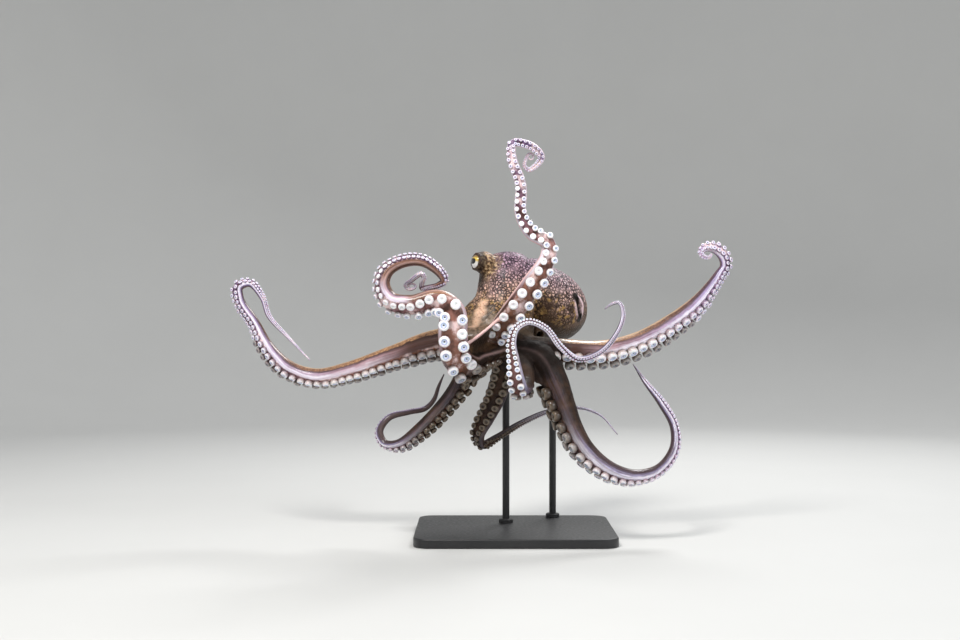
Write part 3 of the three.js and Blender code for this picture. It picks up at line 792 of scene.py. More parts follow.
def earthy_at(arm, share):
    earthy = np.zeros(len(share))
    for start, stop in EARTHY.get(arm.name, []):
        earthy += smoothstep(share, start - 0.04, start + 0.03) * (1 - smoothstep(share, stop, stop + 0.04))
    return earthy


# What a sample of an arm tells, and where in its row of numbers.
COLUMN = dict(at=slice(0, 3), half=3, look=slice(4, 7), across=slice(7, 10), share=10, keel=11, dusk_and_shade=12,
              cool=13, earthy=14, stripe=15)


def samples_of(arm, root_only):
    """The arm's samples, each a row of numbers in the order of COLUMN."""
    used = arm.reach <= root_end(arm) + CUT + 4 if root_only else arm.reach >= 0
    share = arm.reach / arm.length
    columns = [arm.at, arm.width / 2, arm.suckers_look, arm.across, share,
               np.full(len(share), KEELED.get(arm.name, FAINT_KEEL)), dusk_and_shade_at(arm, share),
               np.full(len(share), float(arm.name in COOL)), earthy_at(arm, share),
               STRIPED.get(arm.name, 0) * (1 - smoothstep(share, 0.5, 0.8))]
    return np.column_stack(columns)[used]


def nearest_samples(places, samples, chunk=3000):
    """For each place the sample whose surface is nearest."""
    found = []
    squares = (samples[:, :3] ** 2).sum(1)
    for start in range(0, len(places), chunk):
        part = places[start:start + chunk]
        gap = (part ** 2).sum(1)[:, None] + squares - 2 * part @ samples[:, :3].T
        found.append(np.argmin(np.sqrt(np.maximum(gap, 0)) - samples[:, 3], axis=1))
    return samples[np.concatenate(found)]


def read_vertices(mesh):
    places = np.zeros(len(mesh.vertices) * 3)
    mesh.vertices.foreach_get("co", places)
    owner = np.zeros(len(mesh.vertices), np.float32)
    mesh.attributes["owner"].data.foreach_get("value", owner)
    return places.reshape(-1, 3), np.rint(owner)


def near_line(places, line, full, none):
    """1 within a distance of a line of places and 0 past another, in millimetres."""
    line = np.array(line)
    gap = (places ** 2).sum(1)[:, None] + (line ** 2).sum(1) - 2 * places @ line.T
    return 1 - smoothstep(np.sqrt(np.maximum(gap.min(1), 0)), full, none)


def mark_skin(mesh):
    places, owner = read_vertices(mesh)
    near = np.zeros((len(places), samples_of(arms[0], root_only=True).shape[1]))
    roots = np.vstack([samples_of(arm, root_only=True) for arm in arms])
    near[owner == ON_TRUNK] = nearest_samples(places[owner == ON_TRUNK], roots)
    for i, arm in enumerate(arms):
        mine = owner == i
        near[mine] = nearest_samples(places[mine], samples_of(arm, root_only=False))

    def told(name):
        return near[:, COLUMN[name]]

    offset = places - told("at")
    distance = np.linalg.norm(offset, axis=1)
    direction = offset / np.maximum(distance, 1e-6)[:, None]
    on_root = 1 - smoothstep(distance / told("half"), 1.05, 1.7)
    facing = (direction * told("look")).sum(1)
    keel = told("keel") * np.clip(1 - abs(facing - 0.04) / 0.16, 0, 1) * (on_root > 0.9)
    edge_of_sail = [SAIL.place(i / 60, 1) for i in range(61)]
    marks = {
        "arm": np.where(owner == ON_TRUNK, on_root, 1.0),
        "along": told("share"),
        "facing": facing - told("stripe"),
        "side": (direction * told("across")).sum(1),
        "dusk_and_shade": told("dusk_and_shade"),
        "cord": np.maximum(keel, near_line(places, edge_of_sail, 1.8, 4.2)),
        "slit": near_line(places, slit_line(out=-2.5, count=40)[0], 5.8, 7.6),
        "lip": np.maximum(near_line(places, slit_line(1.45, count=40)[0], 2.2, 5.0),
                          near_line(places, slit_line(-1.4, count=40)[0], 1.2, 3.4) * 0.7),
        "cool": told("cool"),
        "earthy": told("earthy"),
    }
    for name, values in marks.items():
        write_mark(mesh, name, values)
    return marks


marks = mark_skin(skin_mesh)
print("share of the skin on arms:", round(float(marks["arm"].mean()), 2))

# %% [markdown]
# ## Colour by named paints
# Paints are given as a painter would mix them, in the numbers of a screen, and turned to the linear
# light that the renderer works in. Small helpers keep the node trees short enough to read.

# %% Paints and node helpers
def paint(red, green, blue):
    def linear(part):
        part /= 255
        return part / 12.92 if part <= 0.04045 else ((part + 0.055) / 1.055) ** 2.4

    return (linear(red), linear(green), linear(blue), 1)


def node(tree, kind, settings=None, **inputs):
    """Adds a node; inputs are values or the sockets that feed them."""
    made = tree.nodes.new("ShaderNode" + kind)
    for key, value in (settings or {}).items():
        setattr(made, key, value)
    for key, value in inputs.items():
        feed(tree, made.inputs[key.replace("_", " ")], value)
    return made


def feed(tree, socket, value):
    if isinstance(value, bpy.types.NodeSocket):
        tree.links.new(value, socket)
    else:
        socket.default_value = value


def mark(tree, name):
    return node(tree, "Attribute", dict(attribute_name=name)).outputs["Fac"]


def mixed(tree, share, first, second):
    """The first colour, with a share of the second over it."""
    made = node(tree, "Mix", dict(data_type="RGBA", clamp_factor=True))
    for index, value in ((0, share), (6, first), (7, second)):
        feed(tree, made.inputs[index], value)
    return made.outputs[2]


def sums(tree, operation, first, second=0.5, clamp=False):
    made = node(tree, "Math", dict(operation=operation, use_clamp=clamp))
    feed(tree, made.inputs[0], first)
    feed(tree, made.inputs[1], second)
    return made.outputs[0]


def product(tree, first, second):
    return sums(tree, "MULTIPLY", first, second)


def between(tree, value, low, high, to_low=0.0, to_high=1.0):
    """Turns a range of a value into another range, smoothly."""
    made = node(tree, "MapRange", dict(interpolation_type="SMOOTHSTEP"), Value=value,
                From_Min=low, From_Max=high, To_Min=to_low, To_Max=to_high)
    return made.outputs["Result"]


def ramp(tree, value, stops):
    """A colour ramp from (place, paint) pairs."""
    made = node(tree, "ValToRGB", Fac=value)
    band = made.color_ramp
    while len(band.elements) < len(stops):
        band.elements.new(0.5)
    for element, (place, colour) in zip(band.elements, stops):
        element.position = place
        element.color = colour
    return made.outputs["Color"]


def place_of(tree):
    return node(tree, "TexCoord").outputs["Object"]


def grain(tree, where, scale, detail=3.0, roughness=0.55):
    """Soft random patches; a larger scale makes them smaller."""
    made = node(tree, "TexNoise", Vector=where, Scale=scale, Detail=detail, Roughness=roughness)
    return made.outputs["Fac"]


def cells(tree, where, scale, feature="F1"):
    """The distance to the middle of the nearest cell, or to its edge."""
    made = node(tree, "TexVoronoi", dict(feature=feature), Vector=where, Scale=scale)
    return made.outputs["Distance"]


def new_material(name, **constants):
    """A material with a Principled shader; constants are set on the shader's own sockets."""
    material = bpy.data.materials.new(name)
    material.use_nodes = True
    tree = material.node_tree
    tree.nodes.clear()
    shader = node(tree, "BsdfPrincipled", **constants)
    out = node(tree, "OutputMaterial")
    tree.links.new(shader.outputs["BSDF"], out.inputs["Surface"])
    return material, tree, shader


print("a mid grey of 128 is", round(paint(128, 128, 128)[0], 3), "in linear light")

# %% [markdown]
# ## Effects that several finishes share
# Three things give wet animal skin away: a net of dark lines between pale cells, a scatter of tiny
# pigment spots, and a fine pebbled surface. One group makes the net and the pebbles, and one the spots.
# Each has a few inputs, so the mantle and the arms can wear the same effect at their own scale.

# %% Shared effects
def new_group(name, inputs, outputs):
    group = bpy.data.node_groups.new(name, "ShaderNodeTree")
    for label, kind, value in inputs:
        socket = group.interface.new_socket(label, in_out="INPUT", socket_type="NodeSocket" + kind)
        if value is not None:
            socket.default_value = value
    for label, kind in outputs:
        group.interface.new_socket(label, in_out="OUTPUT", socket_type="NodeSocket" + kind)
    source = group.nodes.new("NodeGroupInput").outputs
    result = group.nodes.new("NodeGroupOutput").inputs
    return group, source, result


def placed(tree, group, **inputs):
    made = tree.nodes.new("ShaderNodeGroup")
    made.node_tree = group
    for key, value in inputs.items():
        feed(tree, made.inputs[key.replace("_", " ")], value)
    return made.outputs


def net_group():
    """A net of dark lines: 1 on a line, 0 inside a cell; and how round the cell stands up."""
    group, source, result = new_group(
        "skin net", [("Where", "Vector", None), ("Cells", "Float", 400.0), ("Line", "Float", 0.14)],
        [("Net", "Float"), ("Pebble", "Float")])
    wander = node(group, "TexNoise", Vector=source["Where"], Scale=190.0, Detail=2.0)
    shift = node(group, "VectorMath", dict(operation="SCALE"), Scale=0.0022)
    group.links.new(wander.outputs["Color"], shift.inputs[0])
    moved = node(group, "VectorMath", dict(operation="ADD"))
    group.links.new(source["Where"], moved.inputs[0])
    group.links.new(shift.outputs[0], moved.inputs[1])
    edge = cells(group, moved.outputs[0], source["Cells"], "DISTANCE_TO_EDGE")
    line = between(group, edge, 0.0, source["Line"], 1.0, 0.0)
    feed(group, result["Net"], line)
    feed(group, result["Pebble"], between(group, edge, 0.0, 0.4))
    return group


def spots_group():
    """Pigment spots: small dark dots of uneven size and strength."""
    group, source, result = new_group(
        "pigment spots", [("Where", "Vector", None), ("Cells", "Float", 700.0), ("Size", "Float", 0.3)],
        [("Spots", "Float")])
    near = cells(group, source["Where"], source["Cells"])
    patch = grain(group, source["Where"], 90.0, 2.0)
    size = product(group, source["Size"], between(group, patch, 0.3, 0.7, 0.5, 1.3))
    feed(group, result["Spots"], between(group, near, product(group, size, 0.45), size, 1.0, 0.0))
    return group


NET = net_group()
SPOTS = spots_group()
print("shared effects:", NET.name, "and", SPOTS.name)

# %% [markdown]
# ## The skin
# One material covers the whole animal. The mantle is built in bands from mauve at the top to olive
# underneath. An arm is built round its section: a grainy orange-brown back, a pale side with a violet
# tint and a painted white sheen, and a brown face between the suckers. The marks on the mesh say how
# much of each shows.

# %% Skin
# Places on the skin with a colour of their own, or with painted light or painted shade: the middle, in
# metres, how far the colour reaches, and the share of that reach up to which it is full.
# Painted light: the upper right of the mantle is lightened where the light falls on it.
LIT_SIDE_OF_MANTLE = dict(middle=(0.098, 0.056, 0.385), reach=0.075)
BROW = dict(middle=(-0.046, 0.004, 0.414), reach=0.036)
# Painted shade under the right eye.
SHADE_BELOW_EYE = dict(middle=(-0.052, 0.006, 0.392), reach=0.022)
EYELID = dict(middle=(-0.054, 0.002, 0.419), reach=0.0185, full=0.8)
SHOULDER = dict(middle=(-0.052, -0.045, 0.316), reach=0.042, full=0.6)
# Painted shade: the underside of the crown is painted almost black where shade falls.
SHADE_UNDER_CROWN = dict(middle=(0.03, -0.048, 0.28), reach=0.056, full=0.66)
# The pale patch down the neck is three places in a row.
PEACH = [dict(middle=(-0.052, -0.032, 0.362), reach=0.016, full=0.6),
         dict(middle=(-0.056, -0.042, 0.349), reach=0.019, full=0.6),
         dict(middle=(-0.064, -0.048, 0.334), reach=0.018, full=0.6)]
FOOT_OF_MANTLE = 0.285                        # the heights that the bands of the mantle lie between
TOP_OF_MANTLE = 0.432


def blob(tree, where, middle, reach, full=0.35):
    """1 round a place on the skin, given in metres, up to a share of a reach, and 0 beyond it."""
    away = node(tree, "VectorMath", dict(operation="DISTANCE"))
    feed(tree, away.inputs[0], where)
    feed(tree, away.inputs[1], middle)
    return between(tree, away.outputs["Value"], reach, reach * full)


def mantle_colours(tree, where, height):
    """Mauve above, tan at the middle, gold and olive below, darkest at the foot, partly painted shade; all
    under a dark net.
    """
    blotch = grain(tree, where, 26.0, 4.0)
    level = sums(tree, "ADD", height, between(tree, blotch, 0.3, 0.7, -0.014, 0.014))
    band = between(tree, level, FOOT_OF_MANTLE, TOP_OF_MANTLE)
    # The darkest stops at the foot are partly the skin's brown and partly painted shade under the mantle.
    ground = ramp(tree, band, [(0.0, paint(46, 34, 26)), (0.14, paint(78, 58, 40)),
                               (0.32, paint(150, 116, 78)), (0.5, paint(222, 180, 146)),
                               (0.72, paint(228, 188, 180)), (1.0, paint(196, 160, 182))])
    # Painted light on the upper right of the mantle.
    painted_light_on_mantle = product(tree, blob(tree, where, **LIT_SIDE_OF_MANTLE), 0.6)
    ground = mixed(tree, painted_light_on_mantle, ground, paint(250, 214, 218))
    lines = ramp(tree, band, [(0.0, paint(26, 18, 14)), (0.3, paint(36, 22, 14)),
                              (0.6, paint(28, 16, 18)), (1.0, paint(34, 20, 34))])
    net = placed(tree, NET, Where=where, Cells=205.0, Line=0.42)
    strength = between(tree, band, 0.06, 0.34, 0.3, 1.0)
    broken = between(tree, grain(tree, where, 75.0, 3.0), 0.3, 0.58, 0.75, 1.0)
    colour = mixed(tree, product(tree, product(tree, net["Net"], strength), broken), ground, lines)
    dots = placed(tree, SPOTS, Where=where, Cells=330.0, Size=0.4)["Spots"]
    colour = mixed(tree, product(tree, product(tree, dots, strength), 0.7), colour, lines)
    golden = product(tree, between(tree, band, 0.14, 0.28), between(tree, band, 0.6, 0.4))
    patches = between(tree, grain(tree, where, 120.0, 4.0), 0.54, 0.64)
    colour = mixed(tree, product(tree, product(tree, golden, patches), 0.65), colour, paint(204, 164, 98))
    brown = between(tree, grain(tree, where, 48.0, 3.0), 0.46, 0.64)
    colour = mixed(tree, product(tree, product(tree, brown, golden), 0.75), colour, paint(54, 36, 24))
    return colour, net["Pebble"]


def head_marks(tree, where, colour):
    """The brow round the right eye, painted shade below it, its dark lid, and the olive shoulder with its
    pale patch.
    """
    fine = grain(tree, where, 240.0, 4.0)
    gold = ramp(tree, between(tree, fine, 0.3, 0.72),
                [(0.0, paint(38, 28, 22)), (0.45, paint(126, 98, 68)), (1.0, paint(232, 202, 160))])
    olive = mixed(tree, between(tree, fine, 0.35, 0.65), paint(72, 58, 46), paint(128, 108, 90))
    # The place below the eye is darkened as painted shade.
    for place, strength, over in ((BROW, 1.0, gold), (SHADE_BELOW_EYE, 0.8, paint(36, 25, 20)),
                                  (EYELID, 0.85, paint(40, 30, 26)), (SHOULDER, 0.9, olive)):
        colour = mixed(tree, product(tree, blob(tree, where, **place), strength), colour, over)
    specks = placed(tree, SPOTS, Where=where, Cells=360.0, Size=0.36)["Spots"]
    peach = mixed(tree, product(tree, specks, 0.8), paint(236, 196, 168), paint(158, 92, 60))
    peach_at = grain(tree, where, 60.0, 3.0)
    for place in PEACH:
        here = product(tree, blob(tree, where, **place), between(tree, peach_at, 0.3, 0.42, 0.6, 1.0))
        colour = mixed(tree, here, colour, peach)
    return colour


def arm_colours(tree, where):
    """A tan back, a brown crease beside it, a pale flank, and flesh between the suckers."""
    along, facing = mark(tree, "along"), mark(tree, "facing")
    wobble = between(tree, grain(tree, where, 60.0, 3.0), 0.25, 0.75, -0.07, 0.07)
    look = sums(tree, "ADD", facing, wobble)
    run = node(tree, "CombineXYZ", X=product(tree, along, 7.0), Y=product(tree, facing, 4.5),
               Z=product(tree, mark(tree, "side"), 4.5)).outputs["Vector"]
    streaks = between(tree, grain(tree, run, 2.2, 4.0, 0.6), 0.35, 0.68)
    back = ramp(tree, along, [(0.0, paint(168, 124, 84)), (0.3, paint(188, 144, 106)),
                              (0.5, paint(134, 98, 82)), (0.72, paint(92, 70, 84)),
                              (1.0, paint(176, 150, 172))])
    freckles = placed(tree, SPOTS, Where=where, Cells=340.0, Size=0.42)["Spots"]
    mottle = between(tree, grain(tree, where, 34.0, 4.0), 0.5, 0.62)
    back = mixed(tree, product(tree, mottle, 0.6), back, paint(104, 70, 48))
    net = placed(tree, NET, Where=where, Cells=190.0, Line=0.3)["Net"]
    back = mixed(tree, product(tree, net, 0.5), back, paint(72, 46, 34))
    back = mixed(tree, product(tree, freckles, 0.85), back, paint(62, 38, 26))
    back = mixed(tree, product(tree, between(tree, look, -0.68, -0.88), 0.5), back, paint(230, 196, 156))
    cool = mark(tree, "cool")
    back = mixed(tree, product(tree, cool, 0.9), back, mixed(tree, streaks, paint(42, 32, 32),
                                                             paint(84, 68, 78)))
    flank = ramp(tree, along, [(0.0, paint(42, 27, 17)), (0.18, paint(72, 44, 28)),
                               (0.3, paint(188, 154, 164)), (0.55, paint(182, 162, 196)),
                               (0.78, paint(140, 126, 182)), (1.0, paint(206, 184, 212))])
    flank = mixed(tree, product(tree, streaks, 0.65), flank, paint(82, 52, 56))
    flank = mixed(tree, product(tree, cool, 0.85), flank, mixed(tree, streaks, paint(46, 38, 48),
                                                                paint(156, 152, 192)))
    earthy = mixed(tree, streaks, paint(150, 104, 64), paint(70, 46, 34))
    flank = mixed(tree, product(tree, mark(tree, "earthy"), 0.9), flank, earthy)
    # Painted sheen: a white highlight painted along the flank beside the suckers.
    painted_sheen = product(tree, between(tree, look, -0.02, 0.26), between(tree, along, 0.2, 0.36))
    painted_sheen = product(tree, painted_sheen, sums(tree, "SUBTRACT", 1.0, mark(tree, "earthy")))
    painted_shine = between(tree, grain(tree, run, 1.1, 2.0), 0.4, 0.6, 0.45, 0.95)
    flank = mixed(tree, product(tree, painted_sheen, painted_shine), flank, paint(244, 238, 250))
    colour = mixed(tree, between(tree, look, -0.4, -0.3), back, flank)
    crease = product(tree, between(tree, look, -0.42, -0.32), between(tree, look, -0.02, -0.3))
    crease = product(tree, crease, between(tree, mark(tree, "arm"), 0.85, 1.0))
    colour = mixed(tree, product(tree, crease, 0.8), colour, paint(58, 36, 28))
    flesh = ramp(tree, along, [(0.0, paint(88, 58, 40)), (0.12, paint(128, 84, 62)),
                               (0.3, paint(156, 108, 94)), (0.5, paint(124, 88, 98)),
                               (0.8, paint(112, 90, 128)), (1.0, paint(200, 176, 204))])
    broad = grain(tree, where, 42.0, 4.0)
    flesh = mixed(tree, product(tree, cool, 0.6), flesh, paint(66, 46, 62))
    pale = product(tree, between(tree, broad, 0.49, 0.62), sums(tree, "SUBTRACT", 0.9, cool, clamp=True))
    flesh = mixed(tree, pale, flesh, paint(248, 222, 222))
    flesh = mixed(tree, product(tree, between(tree, broad, 0.47, 0.35), 0.8), flesh, paint(72, 42, 32))
    colour = mixed(tree, between(tree, look, 0.4, 0.62), colour, flesh)
    # Dusky roots: partly the arm's own dark skin and partly painted shade under the body.
    dusky_and_shade_paint = mixed(tree, between(tree, broad, 0.4, 0.62), paint(32, 21, 14), paint(66, 46, 30))
    return mixed(tree, product(tree, mark(tree, "dusk_and_shade"), 0.88), colour, dusky_and_shade_paint)


def skin_material():
    """Mantle and arms, the marks of the head, the shade under the crown, the cord and the slit."""
    material, tree, shader = new_material(
        "wet skin", Roughness=0.4, Specular_IOR_Level=0.2, Coat_Weight=0.2, Coat_Roughness=0.16,
        Subsurface_Weight=0.05, Subsurface_Scale=0.003)
    where = place_of(tree)
    height = node(tree, "SeparateXYZ", Vector=where).outputs["Z"]
    mantle, pebble = mantle_colours(tree, where, height)
    arm_mark = mark(tree, "arm")
    colour = mixed(tree, arm_mark, mantle, arm_colours(tree, where))
    colour = head_marks(tree, where, colour)
    # Painted shade under the crown, almost black.
    under = blob(tree, where, **SHADE_UNDER_CROWN)
    for share, strength, over in ((under, 0.9, paint(22, 14, 10)),
                                  (mark(tree, "cord"), 0.9, paint(250, 208, 204)),
                                  (mark(tree, "lip"), 1.0, paint(240, 212, 218)),
                                  (mark(tree, "slit"), 1.0, paint(24, 14, 12))):
        colour = mixed(tree, product(tree, share, strength), colour, over)
    feed(tree, shader.inputs["Base Color"], colour)
    patchy = grain(tree, where, 150.0, 3.0)
    # The skin is less glossy where shade is painted: under the crown, and where the arms are dusky and
    # shaded.
    dull_where_shaded = sums(tree, "MAXIMUM", under, product(tree, mark(tree, "dusk_and_shade"), 0.8))
    smooth = product(tree, arm_mark, sums(tree, "SUBTRACT", 0.14, product(tree, dull_where_shaded, 0.36)))
    rough = sums(tree, "SUBTRACT", between(tree, patchy, 0.3, 0.7, 0.42, 0.6), smooth)
    feed(tree, shader.inputs["Roughness"], rough)
    wet = sums(tree, "ADD", product(tree, arm_mark, 0.3), 0.06)
    feed(tree, shader.inputs["Coat Weight"], product(tree, wet, sums(tree, "SUBTRACT", 1.0, dull_where_shaded)))
    fine = grain(tree, where, 900.0, 3.0)
    relief = product(tree, pebble, sums(tree, "SUBTRACT", 1.0, product(tree, arm_mark, 0.8)))
    height_map = sums(tree, "ADD", relief, product(tree, fine, 0.5))
    bump = node(tree, "Bump", Strength=0.7, Distance=0.0011, Height=height_map)
    feed(tree, shader.inputs["Normal"], bump.outputs["Normal"])
    return material


SKIN = skin_material()
skin = finish_piece("skin", skin_mesh, SKIN)
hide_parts(*FLESH)
print("the skin replaces", len(FLESH), "nodes")

# %% [markdown]
# ## Suckers
# A sucker is a cup on a short neck: a wide soft rim, a shallow funnel and a small deep hole. One cup is
# spun from its profile and copied into place hundreds of times, so it has only a few dozen faces.

# %% One sucker
# Corners of the profile from the neck to the hole: distance from the middle and height, in radii, and
# a tint from 0 on the neck to 1 in the hole.
CUP = [(0.74, -1.0, 0), (0.95, -0.5, 0.14), (1.0, -0.06, 0.3), (0.9, 0.22, 0.42), (0.62, 0.3, 0.58),
       (0.48, 0.25, 0.72), (0.2, 0.21, 0.84), (0.11, 0.02, 1)]
PLAIN_CUP = [(0.76, -0.9, 0), (1.0, -0.1, 0.3), (0.88, 0.22, 0.42), (0.46, 0.24, 0.66), (0.14, 0.02, 1)]


def sucker_mesh(sides, profile):
    """A cup with its hole and its neck closed; each vertex has the tint of its corner."""
    bm = spun([corner[:2] for corner in profile], sides, 1e-4)
    above_neck = profile[0][1] + 0.3
    hole = [e for e in bm.edges if e.is_boundary and e.verts[0].co.z > above_neck]
    bmesh.ops.contextual_create(bm, geom=hole)
    neck = [e for e in bm.edges if e.is_boundary]
    bmesh.ops.contextual_create(bm, geom=neck)
    bmesh.ops.recalc_face_normals(bm, faces=bm.faces)
    mesh = mesh_of(bm, "sucker")

    def tint(co):
        return min(profile, key=lambda corner: abs(co.xy.length - corner[0]) + abs(co.z - corner[1]))[2]

    write_mark(mesh, "cup", [tint(v.co) for v in mesh.vertices])
    return mesh


LARGE_CUP = sucker_mesh(12, CUP)
SMALL_CUP = sucker_mesh(8, PLAIN_CUP)
print("faces of a sucker:", len(LARGE_CUP.polygons), "large,", len(SMALL_CUP.polygons), "small")

# %% [markdown]
# ## Rows of suckers
# The suckers stand in two rows that zigzag from the mouth to the tip and shrink with the arm. A loop
# walks along the arm and sets each cup on the skin under it. A few random draws from a fixed seed keep
# the rows from looking like a zip.

# %% Rows of suckers
# Where the rows start, in millimetres; the step to the next sucker of the other row, in diameters; and
# how far aside and out of the middle line a sucker stands and how far it leans, in widths of the arm.
# One row of an arm may lie in the shade of the other, which is painted as shade, and the rings of one
# row may be washed white by painted light: the side is told as 1 or -1.
# The last setting is the share of the arm from its root up to which the suckers are darkened as painted
# shade.
ROW = dict(first=22, step=0.53, aside=0.28, out=0.3, lean=0.12, small=7.0, rise=0.5, shaded=0, lit_white_row=0,
           shaded_root=0.01)
# Diameter as a share of the arm's width, at shares of its length.
SIZES = [(0, 0.36), (0.12, 0.4), (0.3, 0.42), (1, 0.42)]
ROWS_UNLIKE = {
    "arm_left_1": dict(step=0.66, aside=0.29, lit_white_row=-1,
                       sizes=[(0, 0.4), (0.15, 0.45), (0.5, 0.45), (1, 0.42)]),
    "arm_left_2": dict(lean=0.03, shaded=1, shaded_root=0.2,
                       sizes=[(0, 0.4), (0.4, 0.44), (0.7, 0.42), (1, 0.42)]),
    "arm_left_3": dict(first=84, rise=0.42, step=0.5),
    "arm_right_3": dict(rise=0.42),
    "arm_right_4": dict(rise=0.42),
    "arm_right_2": dict(lean=0.03, shaded=-1, shaded_root=0.32,
                        sizes=[(0, 0.28), (0.25, 0.34), (0.45, 0.41), (1, 0.42)]),
    "arm_right_1": dict(step=0.52, aside=0.3, lit_white_row=1,
                        sizes=[(0, 0.36), (0.14, 0.4), (0.3, 0.42), (0.4, 0.42), (0.46, 0.36),
                               (0.54, 0.3), (0.72, 0.34), (1, 0.4)]),
}
MARKED_TO = 0.6                               # the share of an arm up to which a row gets painted shade or painted light
LEAST_RISE = 0.4                              # the share of its rise that the smallest sucker keeps
RISE_SPAN = 22                                # each millimetre of size adds one part in so many to it


def sucker_rows(arm, seed):
    """Joined copies of the cup along one arm, in two rows, each standing off the skin under it."""
    random.seed(seed)
    told = dict(ROW, sizes=SIZES) | ROWS_UNLIKE.get(arm.name, {})
    shares, sizes = zip(*told["sizes"])
    bm = bmesh.new()
    reach, side, count = told["first"], 1, 0
    while reach < arm.length - 1.5:
        middle, along, look, across, width = arm.station(reach)
        usual = width * float(np.interp(reach / arm.length, shares, sizes))
        size = usual * random.uniform(0.94, 1.05)
        out = (look + across * (side * told["lean"]) + along * random.uniform(-0.12, 0.12)).normalized()
        foot = middle + across * (side * width * told["aside"]) + look * (width * told["out"])
        spin = Quaternion(out, random.uniform(0, math.tau)).to_matrix().to_4x4()
        rise = told["rise"] * min(1.0, LEAST_RISE + size / RISE_SPAN)
        place = Matrix.Translation(foot + out * (size * rise)) @ spin @ facing_turn(out)
        cup = (LARGE_CUP if size > told["small"] else SMALL_CUP).copy()
        share = reach / arm.length
        shaded = 0.75 if side == told["shaded"] and share < MARKED_TO else 0
        # The dusk mark holds the dusky colour, the painted shade of the shaded row, and painted shade near
        # the root.
        dusk_and_shade = max(dusk_and_shade_at(arm, share), shaded, 1 - share / told["shaded_root"])
        # Painted light: most suckers of the lit row get white rings.
        lit_white_row = random.random() < 0.8 and side == told["lit_white_row"] and share < MARKED_TO
        for name, value in (("share", share), ("lit_white_row", lit_white_row), ("dusk_and_shade", dusk_and_shade)):
            write_mark(cup, name, np.full(len(cup.vertices), value))
        cup.transform(place @ Matrix.Scale(size / 2, 4))
        bm.from_mesh(cup)
        bpy.data.meshes.remove(cup)
        reach += max(usual * told["step"], 0.9)
        side, count = -side, count + 1
    return mesh_of(bm, "suckers"), count


def sucker_material():
    material, tree, shader = new_material(
        "suckers", Roughness=0.32, Coat_Weight=0.3, Coat_Roughness=0.15, Subsurface_Weight=0.1,
        Subsurface_Scale=0.003)
    cup, share = mark(tree, "cup"), mark(tree, "share")
    near = ramp(tree, cup, [(0.0, paint(96, 74, 70)), (0.14, paint(178, 162, 158)),
                            (0.3, paint(218, 209, 208)), (0.42, paint(246, 244, 250)),
                            (0.58, paint(248, 249, 254)), (0.72, paint(160, 174, 214)),
                            (0.84, paint(226, 232, 246)), (1.0, paint(40, 36, 48))])
    far = ramp(tree, cup, [(0.0, paint(120, 92, 116)), (0.25, paint(140, 118, 150)),
                           (0.45, paint(244, 236, 248)), (0.7, paint(206, 196, 226)),
                           (1.0, paint(60, 46, 70))])
    colour = mixed(tree, between(tree, share, 0.35, 0.75), near, far)
    # Painted light: the rings of the lit row are painted white.
    lit_white_row = product(tree, mark(tree, "lit_white_row"), between(tree, cup, 0.25, 0.45))
    colour = mixed(tree, lit_white_row, colour, paint(250, 248, 252))
    # Dusky suckers: partly their own dark colour and partly painted shade.
    dusky_and_shade_paint = ramp(tree, cup, [(0.0, paint(34, 25, 20)), (0.3, paint(74, 60, 48)),
                             (0.5, paint(118, 102, 84)), (0.75, paint(82, 68, 54)),
                             (1.0, paint(32, 24, 20))])
    feed(tree, shader.inputs["Base Color"], mixed(tree, mark(tree, "dusk_and_shade"), colour, dusky_and_shade_paint))
    fine = grain(tree, place_of(tree), 1500.0)
    bump = node(tree, "Bump", Strength=0.3, Distance=0.0004, Height=fine)
    feed(tree, shader.inputs["Normal"], bump.outputs["Normal"])
    return material


SUCKERS = sucker_material()
for number, arm in enumerate(arms):
    rows, count = sucker_rows(arm, seed=number + 1)
    piece = finish_piece("suckers_" + arm.name.removeprefix("arm_"), rows, SUCKERS)
    print(f"{piece.name}: {count} suckers, {len(rows.polygons)} faces")

# %% [markdown]
# ## Eyes
# The eye of an octopus is a camera eye with a level slit for a pupil, whichever way the head is
# turned. The ball is a fine sphere with its iris sunk a little and the slit sunk further, and a clear
# wet coat over all of it.

# %% Eyes
IRIS = 0.62                                   # how near the gaze the iris reaches, as a cosine
PUPIL = dict(wide=0.52, tall=0.34)            # half its width and height, in radii of the ball
PUPIL_EDGE = 0.02                             # how much further its black goes than its hollow


def eye_mesh(eye):
    """A ball with its iris sunk a little and its pupil sunk further."""
    bm = bmesh.new()
    bmesh.ops.create_uvsphere(bm, u_segments=64, v_segments=48, radius=1)
    level = Vector((0, 0, 1)).cross(eye["look"]).normalized()
    rise = eye["look"].cross(level)
    bmesh.ops.transform(bm, matrix=facing_turn(eye["look"]), verts=bm.verts)
    marks = {"gaze": [], "level": [], "rise": []}
    for vertex in bm.verts:
        direction = vertex.co.normalized()
        gaze, across, up = direction.dot(eye["look"]), direction.dot(level), direction.dot(rise)
        iris = max(0.0, min(1.0, (gaze - IRIS) / 0.05))
        inside = 1 - (across / PUPIL["wide"]) ** 4 - (up / PUPIL["tall"]) ** 2
        slit = max(0.0, min(1.0, inside * 3)) if gaze > 0 else 0.0
        vertex.co = eye["centre"] + direction * (EYE["radius"] - 0.3 * iris - 0.5 * slit)
        for key, value in zip(marks, (gaze, across, up)):
            marks[key].append(value)
    mesh = mesh_of(bm, "eye")
    for key, values in marks.items():
        write_mark(mesh, key, values)
    return mesh


